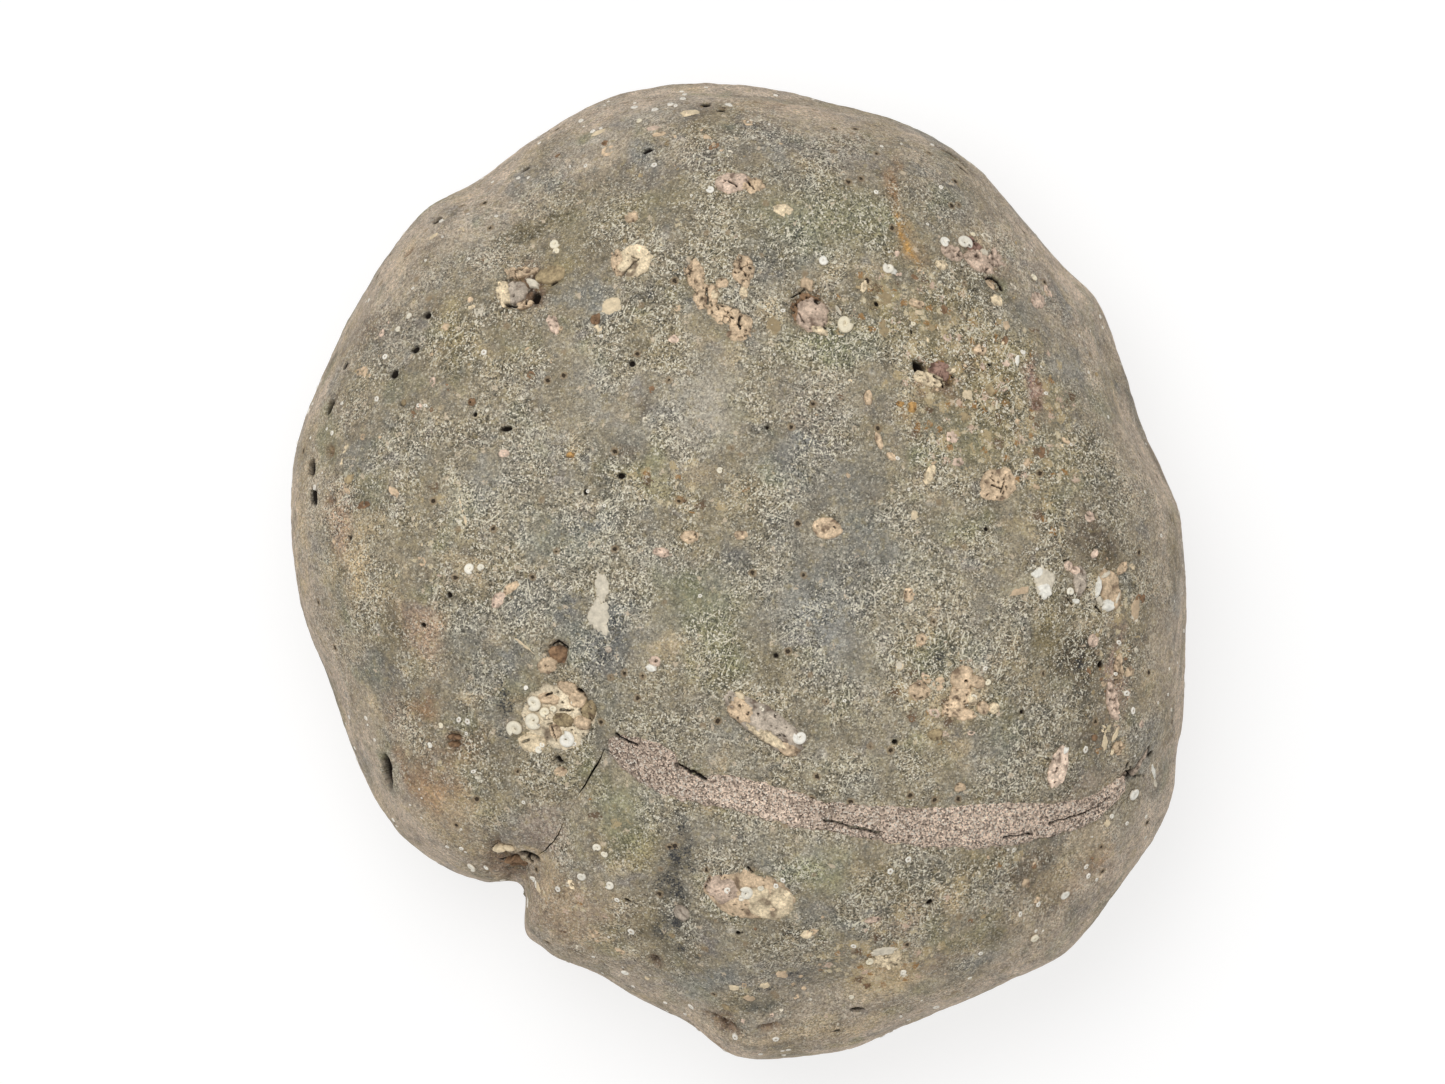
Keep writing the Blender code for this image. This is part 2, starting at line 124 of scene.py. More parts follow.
# Rough brown cavities: x, y, half width, half height, turn, depth
CAVITIES = (
    (-81, -48, 2.6, 3.0, 15, 1.6), (-66.4, -84.4, 6.0, 12.0, 0, 2.8), (-61.5, 80.8, 6.2, 6.0, 0, 1.5),
    (20.6, 74, 5.8, 6.4, 0, 1.7), (-50.6, -22.6, 3.3, 3.3, 0, 1.7), (60, 54.2, 1.4, 1.3, 0, 1.7),
    (72.6, 81.8, 2.6, 1.4, -30, 1.1), (-3.5, -127.5, 5.0, 2.2, -20, 2.2), (-23, -110.5, 2.2, 2.6, 20, 1.4),
    (9, -129, 3.0, 1.6, 10, 1.6), (-113, 33.5, 2.2, 1.8, -10, 1.4), (-9, 133, 2.0, 1.2, 0, 1.0),
    (61, 116.5, 4.6, 1.1, -34, 0.9),
    (-112.5, 20, 2.4, 1.8, 0, 1.0), (-93, 90, 2.2, 1.3, 45, 1.0), (-95, 107, 2.0, 1.0, 40, 0.8),
)
# Pores, sunk and painted black as shade: x, y, half width
PORES = (
    (-1.3, -97, 0.34), (-1.7, -98.3, 0.34), (-0.1, -97.6, 0.25), (1.5, -102.2, 0.35), (-32.5, 91, 0.26),
    (-31, 90, 0.22), (-2.5, 70.4, 0.25), (53.7, -34.3, 0.28), (89.7, -53.2, 0.36), (88.6, -55.1, 0.3),
    (90.6, -55.5, 0.34), (90.3, -56.5, 0.34), (89.9, -59.6, 0.3), (88.5, -60.2, 0.3),
)
# Slits, sunk and painted black as shade: x, y, x, y, half width. A pore is a slit whose two ends are one.
SLITS = (
    (-34.3, -45.7, -31.3, -47.4, 0.36), (-31.3, -47.4, -28, -48.9, 0.3), (-17.3, -54.2, -13.5, -56, 0.42),
    (-13.5, -56, -8.8, -58.4, 0.5), (-44.9, -33.2, -43.6, -33.9, 0.42), (-43, -34.8, -41.9, -36.3, 0.28),
    (-41.3, -43.4, -40.4, -44, 0.45), (-50, -39.2, -46.6, -39.3, 0.36), (-54, -34.9, -52.6, -34.4, 0.32),
    (-52.6, -43, -51.4, -46.5, 0.26), (-60.5, -48.2, -58.9, -47.6, 0.33),
    (-52.9, -20.9, -50.6, -19.7, 0.32), (-50.6, -19.7, -48, -21.6, 0.38), (-7.6, -86, -8.9, -89.5, 0.22),
    (3.3, -83.8, 4.3, -84.9, 0.4), (6.8, -84.9, 7.8, -86.2, 0.45), (-2.2, -35.3, -1.8, -36.9, 0.32),
    (-59.9, 76, -59.2, 77.6, 0.42), (-65.8, 82.8, -64, 83.2, 0.24), (-65.5, 75.9, -62.5, 75.1, 0.3),
    (-53.3, 81.2, -51.2, 82.1, 0.28), (-63, 85.2, -62.8, 82.9, 0.22), (-27.7, 88.5, -31, 85.5, 0.27),
    (-31.3, 85, -32.2, 83.4, 0.3), (-29.8, 89.1, -28, 88.4, 0.2), (-34, 89.3, -33.7, 89.6, 0.3),
    (-8.7, 80, -8.3, 77.5, 0.3), (-8.3, 77.5, -8.3, 75.8, 0.34), (-7.5, 76.2, -7, 75.3, 0.3),
    (-5.6, 75, -5.2, 74.2, 0.28), (0.6, 71.8, 0.4, 69.8, 0.38), (0.4, 69.8, 0.9, 68.6, 0.3),
    (-1.7, 71.8, -1.2, 71.6, 0.28), (2.5, 66.9, 3.2, 66.5, 0.3), (-13.8, 85.7, -13.6, 85.5, 0.3),
    (3.9, 85.7, 3.4, 85.9, 0.3), (1.5, 82.3, 1.9, 82.3, 0.25), (15.4, 77, 16.6, 76.8, 0.5),
    (22.3, 76.8, 23, 76.4, 0.6), (15.3, 73.6, 16, 73.5, 0.4), (24.6, 69.3, 25, 69, 0.35),
    (17.5, 73.2, 18.9, 70.6, 0.2), (15.4, 77.6, 19, 80, 0.24), (19, 80, 25.6, 76.8, 0.24),
    (64.7, 86.6, 65.3, 85.9, 0.5), (70.8, 85.8, 71.2, 85.8, 0.28), (70, 83.4, 72.4, 83.6, 0.3),
    (72.4, 83.6, 74, 82.2, 0.34), (74, 82.2, 75.2, 80.1, 0.42), (66, 93.9, 69, 93.4, 0.32),
    (55.6, 55.3, 57.4, 54.2, 0.28), (57.9, 53.8, 58.3, 52.2, 0.34), (60.6, 55.2, 61.3, 54.9, 0.3),
    (52.7, 74.9, 53.1, 74.8, 0.3), (49.2, 68.4, 49.3, 67.6, 0.28), (71.1, 59, 71.6, 58.6, 0.42),
    (69.3, 63.3, 69.6, 63, 0.3), (76.4, 66.9, 76.6, 66.6, 0.3), (64.4, -30.8, 64.8, -30.8, 0.38),
    (64, -36.5, 64.4, -36.5, 0.25), (-60.4, -80.6, -58, -82.6, 0.36), (-69, -83.6, -65, -83.2, 0.3),
    (-69, -78.2, -71, -79.6, 0.16), (112.8, -58.1, 115.8, -58, 0.3), (111.6, -55.4, 111.8, -56.3, 0.3),
    (117, -54, 117.1, -52.4, 0.42), (117.1, -52.4, 118, -51.3, 0.4), (101.6, -9.8, 103.1, -11.4, 0.24),
    (92.2, 2.8, 93.8, 3.6, 0.24), (93.8, -7.8, 94.8, -9.2, 0.2), (75.5, 25.5, 74.5, 22.5, 0.24),
    (72, 24.5, 74.2, 23.6, 0.24), (71.5, 26.5, 72.6, 25.6, 0.22), (77, 27, 77.2, 26.6, 0.28),
    (-2.5, 110.5, 0, 109, 0.24), (3, 110.6, 4.4, 108.6, 0.28), (5, 111.5, 5.4, 111, 0.28),
    (1, 107.6, 2, 107.4, 0.22), (27.2, 12.8, 27.6, 12.3, 0.45),
    *((x, y, x, y, wide) for x, y, wide in PORES),
)
SLIT_DEPTH = 1.3
SLIT_EDGE = 0.36
CAVITY_EDGE = 0.75

# Borings and hollows filled with silt: x, y, half width, half height, turn, rise, lumps, tone
SILT = (
    (-62, 86, 4.8, 2.2, -8, -0.3, 0.5, "peach"), (-63, 79.6, 3.4, 3.3, 0, -0.4, 0.3, "grey"),
    (-66.6, 79.4, 1.9, 4.6, 12, -0.1, 0.3, "cream"), (-60.6, 75.9, 2.4, 1.2, 12, -0.4, 0.3, "tan"),
    (-53, 84.6, 4.2, 3.2, 10, 0.0, 0.2, "olive"), (-29.5, 88, 5.4, 5.0, 0, 0.15, 0.25, "cream"),
    (-33.6, 87.5, 2.0, 4.4, 8, 0.2, 0.4, "tan"), (-1.2, 110, 5.0, 3.6, -6, 0.35, 0.3, "pink"),
    (4.4, 109.4, 3.6, 2.6, -10, 0.2, 0.6, "tan"),
    (13, 102.5, 2.9, 2.0, -15, 0.2, 0.4, "cream"), (-12, 84, 2.7, 4.8, 12, 0.15, 0.5, "tan"),
    (-8.8, 78, 3.6, 4.2, -20, 0.2, 0.5, "tan"), (-6.4, 78.6, 1.2, 1.6, 0, 0.6, 0.2, "cream"),
    (-4.2, 81.8, 1.9, 1.8, 0, 0.1, 0.3, "tan"), (-3, 73, 5.2, 3.0, -18, 0.25, 0.45, "tan"),
    (1.2, 70, 3.2, 3.8, 10, 0.25, 0.4, "tan"), (0.2, 67.4, 3.4, 2.0, 0, 0.15, 0.3, "tan"),
    (1.6, 85.4, 3.2, 4.8, 0, 0.25, 0.5, "tan"), (1.9, 79, 1.3, 2.4, 0, 0.1, 0.2, "cream"),
    (21.4, 72.6, 4.6, 5.0, 10, -0.55, 0.35, "pink_grey"), (17, 74.6, 2.2, 3.4, 0, -1.0, 0.3, "brown"),
    (21, 77.8, 3.6, 1.6, -10, -1.1, 0.3, "brown"), (23.4, 68.2, 2.6, 1.2, -20, -0.1, 0.3, "cream"),
    (61, 90.4, 3.4, 2.6, 0, 0.2, 0.5, "pink_grey"), (68.5, 88, 5.4, 3.4, -10, 0.15, 0.6, "pink_grey"),
    (66.4, 92.6, 3.2, 2.0, 0, 0.2, 0.4, "maroon"), (73.4, 89, 2.4, 3.2, 0, 0.1, 0.5, "pink"),
    (58, 87, 2.0, 1.6, 0, 0.1, 0.3, "cream"), (72, 81.6, 2.0, 1.2, -30, -0.6, 0.2, "tan"),
    (54, 54.4, 4.4, 2.0, -10, 0.1, 0.3, "cream"), (57.2, 57, 3.4, 2.4, -20, 0.1, 0.5, "maroon"),
    (60.4, 56.9, 1.6, 1.0, 0, 0.3, 0.3, "cream"), (73.6, 24.6, 5.6, 4.6, 15, 0.3, 0.4, "peach"),
    (54.5, 27.5, 1.4, 3.0, -25, 0.1, 0.3, "cream"), (25.5, 12.3, 4.2, 3.0, -8, 0.5, 0.1, "peach"),
    (-13.5, 10, 2.6, 1.9, 0, 0.1, 0.4, "peach"), (1, 10.5, 2.0, 1.4, 0, 0.1, 0.3, "peach"),
    (-21.5, 5.5, 3.0, 1.3, -10, 0.0, 0.3, "pink"), (-64, -4.6, 3.0, 1.2, 36, 0.1, 0.3, "tan"),
    (-67.6, -8, 1.6, 2.8, -34, 0.1, 0.3, "pink"), (-53.6, -26.4, 3.0, 2.4, 20, 0.35, 0.3, "tan"),
    (-50.5, -23.4, 2.9, 2.6, 0, -0.7, 0.2, "brown"), (-23.5, -25.5, 1.9, 1.6, 0, 0.1, 0.4, "pink"),
    (48.5, -6.5, 1.7, 2.0, 0, 0.1, 0.3, "peach"), (52, -19, 1.7, 1.6, 0, 0.1, 0.3, "peach"),
    (63.7, -30.2, 3.4, 3.6, 0, 0.7, 0.35, "peach"), (67.4, -31, 3.2, 1.7, -12, 0.7, 0.25, "peach"),
    (63, -34.6, 3.4, 2.8, 0, 0.5, 0.35, "peach"), (66.6, -35.6, 2.0, 2.1, 0, 0.8, 0.2, "cream"),
    (61, -38.6, 3.4, 2.7, 0, 0.45, 0.4, "peach"), (64, -40.2, 3.6, 1.7, -10, 0.3, 0.4, "peach"),
    (69.4, -38.4, 1.8, 1.9, 0, 0.5, 0.2, "peach"), (72.5, -38.4, 1.7, 1.6, 0, 0.6, 0.2, "cream"),
    (51.4, -33.6, 3.2, 2.6, 0, 0.15, 0.4, "tan"), (45.8, -26.6, 1.2, 1.3, 0, 0.3, 0.2, "cream"),
    (56, -46, 2.2, 1.8, 0, 0.1, 0.3, "olive"), (8.2, -43.6, 13.6, 4.6, -35, 0.6, 0.3, "grey"),
    (1.2, -39.8, 4.6, 3.4, -40, 0.8, 0.4, "tan"), (8.4, -46.9, 7.4, 1.8, -33, 0.85, 0.25, "cream"),
    (14.5, -50.4, 3.4, 1.9, -20, 0.8, 0.25, "peach"), (91.4, -55.6, 3.0, 6.2, -16, 0.35, 0.25, "pale_pink"),
    (63, -61, 1.7, 1.4, 0, 0.1, 0.3, "tan"), (3.4, -91.6, 13.0, 7.4, -2, 0.15, 0.3, "tan"),
    (9, -93.6, 7.0, 5.6, 0, 0.35, 0.2, "cream"), (-4, -90, 5.0, 4.6, 0, 0.35, 0.3, "pink_grey"),
    (42.5, -110, 4.6, 3.6, 10, 0.3, 0.5, "cream"), (38.5, -98.5, 2.3, 1.2, 10, 0.1, 0.3, "pink"),
    (99, 15.5, 1.8, 1.8, 0, 0.1, 0.3, "pink"), (100.5, 5, 1.6, 1.1, 40, 0.4, 0.2, "pink"),
    (101, -19.5, 1.7, 2.0, 0, 0.1, 0.3, "pink"), (107, -37, 2.0, 5.6, 4, 0.35, 0.5, "pink"),
    (108.4, -28, 1.5, 4.8, -6, 0.25, 0.5, "tan"), (109, -50.4, 2.2, 2.2, 0, 0.3, 0.5, "tan"),
    (96.6, -2.4, 2.2, 4.2, 0, 0.7, 0.3, "grey"),
    (105, -5, 3.8, 5.6, 12, 0.8, 0.25, "tan"), (108, 1, 2.6, 1.4, 25, 0.4, 0.3, "tan"),
    (93.4, 1.7, 1.4, 1.5, 0, 0.7, 0.1, "pink"), (95.4, 0.4, 1.6, 1.3, 0, 0.7, 0.1, "pink"),
    (51, 75.8, 2.6, 1.2, -10, 0.2, 0.2, "tan"), (69, 63, 2.2, 1.6, 20, 0.2, 0.3, "peach"),
    (86, 77.5, 2.4, 3.4, -30, 0.1, 0.4, "pink"), (106.6, -64.6, 3.6, 1.0, 42, 0.25, 0.3, "sand"),
    (110.4, -60.4, 3.2, 0.9, 46, 0.25, 0.3, "sand"), (116, -55, 4.6, 0.9, 42, 0.2, 0.3, "sand"),
    (-51, -41.4, 11.2, 10.2, -20, -0.2, 0.3, "ground"),
    (-45, -36, 2.8, 2.4, 0, 0.7, 0.2, "tan"), (-41.9, -39.2, 2.2, 3.2, 0, 0.4, 0.3, "olive"),
    (-43.7, -42.6, 2.6, 2.1, 0, 0.7, 0.2, "tan"), (-49, -41.8, 3.2, 2.3, 0, 0.5, 0.2, "olive"),
    (-47.3, -33, 3.4, 1.9, -25, 0.5, 0.2, "tan"), (-53, -35.8, 3.2, 1.8, 0, 0.4, 0.3, "tan"),
    (-58, -48.6, 4.2, 2.8, 0, 0.35, 0.2, "cream"), (-51.2, -45, 2.0, 2.2, 0, 0.5, 0.2, "tan"),
    (-50, -56.8, 2.2, 1.4, 0, 0.1, 0.3, "tan"), (-15.8, -97, 2.4, 2.2, 0, 0.4, 0.2, "grey"),
    (-81, -47.4, 2.0, 0.7, 0, -0.5, 0.2, "brown"), (-81, -49.4, 1.8, 0.6, 0, -0.5, 0.2, "brown"),
    (-62.6, -82.8, 2.8, 2.0, 0, 0.0, 0.5, "brown"),
    (-36.5, -22, 1.0, 1.0, 0, 0.2, 0.2, "grey"), (-40, 71.5, 1.6, 1.8, 0, 0.0, 0.4, "brown"),
    (-52, 70, 1.6, 3.2, 20, 0.0, 0.4, "pink"), (-30, 101, 2.2, 2.0, 0, 0.0, 0.4, "tan"),
    (-18, 66, 1.6, 1.4, 0, 0.0, 0.4, "pink"), (37, 49, 1.4, 2.2, 0, 0.1, 0.3, "peach"),
    (49.5, 46.5, 1.4, 1.6, 0, 0.0, 0.4, "ochre"), (46, 47.5, 1.2, 1.0, 0, 0.0, 0.3, "ochre"),
    (40, 37, 1.0, 2.6, 20, 0.1, 0.2, "peach"), (43.5, 32.5, 1.6, 1.0, -40, 0.1, 0.3, "peach"),
    (-105, 18.6, 2.2, 1.2, 10, 0.0, 0.4, "brown"), (-66, 33.5, 1.6, 1.2, 0, 0.0, 0.3, "pink"),
    (-75, 48, 1.2, 1.2, 0, 0.0, 0.3, "brown"), (-47, 33, 1.2, 0.9, 0, 0.0, 0.3, "ochre"),
)
TONES = {
    "cream": (230, 211, 178), "tan": (206, 182, 152), "pink": (216, 192, 172), "peach": (216, 191, 160),
    "pink_grey": (206, 183, 163), "grey": (184, 171, 155), "brown": (140, 112, 86),
    "maroon": (156, 126, 112), "olive": (164, 146, 114), "ochre": (182, 144, 92),
    "ground": (212, 197, 170), "sand": (176, 159, 142), "white": (246, 242, 230),
    "chalk": (222, 212, 192), "pale_pink": (238, 214, 192),
}
# Thin crusts and scraps of shell: x, y, half width, half height, turn, rise, tone
CRUSTS = (
    (-38.6, -4.4, 2.0, 4.6, 6, 0.35, "chalk"), (-39.6, -12, 3.4, 4.4, -12, 0.45, "chalk"),
    (-37.6, -16.4, 1.2, 1.8, 10, 0.3, "chalk"), (-35.4, 75, 3.0, 2.7, 20, 0.15, "cream"),
    (-24.5, -27.5, 1.7, 1.2, -15, 0.45, "white"), (85, -0.4, 1.8, 1.3, 30, 0.9, "white"),
    (86.8, -5.4, 2.2, 2.4, 0, 1.0, "white"), (86.6, -2.6, 3.2, 4.6, 8, 0.6, "chalk"),
    (80, -5.6, 3.4, 1.1, 12, 0.1, "tan"), (103.4, -0.8, 0.6, 2.0, -52, 1.2, "chalk"),
    (101.5, -4.4, 0.8, 2.9, -8, 1.2, "white"),
    (102, -8.2, 0.6, 1.7, 20, 1.1, "chalk"), (106.6, -7.4, 0.5, 2.2, -24, 1.0, "chalk"),
    (104.4, -9.4, 1.9, 2.2, 20, 1.2, "white"), (112, -10.6, 1.8, 3.4, -8, 0.35, "tan"),
    (95.7, -8.3, 1.3, 0.8, -8, 0.6, "white"), (50, 16, 1.2, 1.6, 0, 0.2, "cream"),
    (-13.5, 130.5, 2.9, 1.4, 0, 0.4, "cream"), (65, 50, 1.8, 1.5, 0, 0.15, "cream"),
    (44.5, -76.5, 2.2, 0.9, -10, 0.35, "cream"), (120.5, -58, 0.8, 2.6, 2, 0.4, "white"),
    (121, -61.4, 0.6, 1.7, 0, 0.3, "chalk"), (93, -50.6, 1.3, 0.7, 30, 0.5, "white"),
    (-67.6, -79, 1.8, 1.0, 10, 0.5, "cream"), (-64.9, -78.9, 1.6, 0.6, -14, 0.4, "cream"),
    (-55.8, -88.6, 1.4, 0.7, -10, 0.5, "cream"), (106.3, -72.3, 1.1, 1.2, 0, 0.4, "cream"),
    (-0.8, -117.8, 1.7, 1.1, 10, 0.3, "cream"), (3.4, -121, 2.0, 1.1, -8, 0.3, "tan"),
    (8, -117.6, 1.6, 1.2, 0, 0.3, "cream"), (-57.9, 81.7, 2.2, 1.1, -42, 0.4, "chalk"),
    (0.9, -35.8, 1.7, 0.9, -38, 1.2, "cream"), (69.9, 90.2, 1.4, 0.9, 0, 0.6, "chalk"),
    (45.6, -26.4, 1.0, 1.2, 0, 0.4, "chalk"), (51.4, 73.3, 1.1, 0.7, 0, 0.2, "cream"),
    (79.4, 60, 0.7, 1.6, 0, 0.4, "white"), (54.8, 69, 1.6, 1.4, 0, 0.05, "olive"),
    (42, 77, 2.6, 2.2, 0, 0.05, "olive"), (41.4, 68.4, 1.8, 3.0, 0, 0.05, "olive"),
    (76.4, 70, 1.3, 1.8, 0, 0.1, "peach"), (10.4, 70, 2.4, 2.8, 0, 0.05, "olive"),
    (104.6, -48.6, 0.9, 2.4, -8, 0.3, "cream"), (107.6, -46.4, 0.7, 2.6, -30, 0.3, "cream"),
    (41.5, -107.5, 3.6, 1.6, 12, 0.5, "chalk"), (44, 85, 1.4, 0.9, -20, 0.5, "white"),
    (28.6, 74, 0.5, 1.8, 30, 0.2, "chalk"), (-77.6, 17, 0.5, 5.0, 14, 0.05, "cream"),
    (-60.5, -20.5, 0.5, 4.4, 50, 0.05, "cream"), (-86, 95, 1.6, 0.8, 40, 0.3, "cream"),
    (-24, 126.5, 2.4, 1.0, -14, 0.2, "pink"), (-40, 126, 2.6, 1.2, 12, 0.2, "cream"),
    (24.5, -68.5, 2.0, 0.7, -10, 0.9, "peach"),
)
# Coiled worm tubes: x, y, radius
COILS = (
    (-51.8, 93.1, 1.8), (-51.2, 91, 1.2), (-7.5, 108, 1.4), (24.4, 88, 1.8), (30.4, 70, 3.1),
    (42.8, 85.6, 2.0), (58.6, 92.8, 2.0), (64.1, 92.8, 2.6), (66.4, 95, 1.0), (84.5, 83.5, 1.4),
    (80.8, 62.2, 1.1), (-92.5, 72, 1.2), (-95.5, 68.5, 1.1), (-5, 29, 1.1), (-75.5, 1, 1.9),
    (-72.3, 1.3, 1.3), (-57.2, -36.8, 2.7), (-54, -39.4, 1.9), (-51.8, -38.5, 1.3), (-57.4, -41.8, 2.9),
    (-62.5, -44.2, 2.9), (-48.1, -47.3, 2.8), (-56, -50.1, 1.4), (-54.9, -48.9, 0.9), (-45.9, -36.6, 1.1),
    (-84, -43.5, 1.1), (-87, -49, 1.1), (17.9, -47, 2.4), (7, -39.4, 1.1), (66.6, -35.5, 1.5),
    (70.6, -31.2, 1.2), (94, -5.6, 1.5), (114.4, -64, 2.3), (94.5, -93, 1.9), (85, -104.5, 1.8),
    (-39.5, -78, 1.5), (-37.6, -79.8, 1.3), (-44, -86, 1.6), (-36, -88.5, 1.6), (-31.5, -113.5, 1.5),
    (-75, -83.3, 1.8), (-70.7, -83.6, 1.0), (-57.6, -86.6, 1.4), (-2.6, -89.9, 1.2), (2.6, -90.8, 2.4),
    (1.2, -92.2, 1.2), (6.6, -89.4, 1.2), (37.5, -110.6, 1.5), (47, -113.5, 1.2), (-59.4, -32.7, 0.9),
    (107.4, -70.2, 1.0), (49.8, 70, 0.9), (-28, 128.6, 1.2), (32.6, -121.6, 1.1),
)
COIL_SQUASH = (0.74, 0.98)
# White specks, the bases and scars of small barnacles: x, y, radius
SPECKS = (
    (13, 74, 0.8), (-99, 60.5, 0.9), (-71.5, 62, 0.9), (-121.5, 45.5, 0.9),
    (-101, 48.5, 0.9), (-90, 47, 0.7), (-88, 47, 0.7), (-117.5, 23.5, 0.9), (-46, -48.5, 0.8),
    (-79, -42, 0.9), (-76.5, -42.5, 0.9),
    (108, -20, 0.9), (110.5, -34.5, 1.1), (112.5, -39.5, 1.1), (99, -50.5, 1.1),
    (100.5, -85, 0.9), (101, -87.5, 0.9), (86.5, -95.5, 0.9), (81, -98, 0.9), (88.5, -72.5, 0.7),
    (86, -75, 0.7), (78.5, -79, 0.7), (-34, -93, 0.9), (-50.5, -89.5, 0.9), (-56.5, -88, 0.9),
    (-58.5, -92.5, 0.9), (-30, -102, 1.1), (-13, -123, 1.0), (13, -87.5, 0.9), (11, -93, 0.8),
    (11, -89, 0.8), (43, -107.5, 0.9), (33, -106, 0.9), (48.5, -81.5, 1.0),
    (43.5, -85, 1.0), (-0.5, -130.5, 1.1),
    (11, -132, 1.1), (56.5, -123.5, 1.0), (-45, 130, 1.1), (-29.5, 133.5, 1.1), (-23.5, 132, 1.1),
    (-19, 133.5, 1.0), (-15.5, 135.5, 1.0), (-2.5, 133, 1.0), (-41.5, 126.5, 0.9),
    (-23.5, 115.5, 0.9), (93, -50.5, 0.9),
)
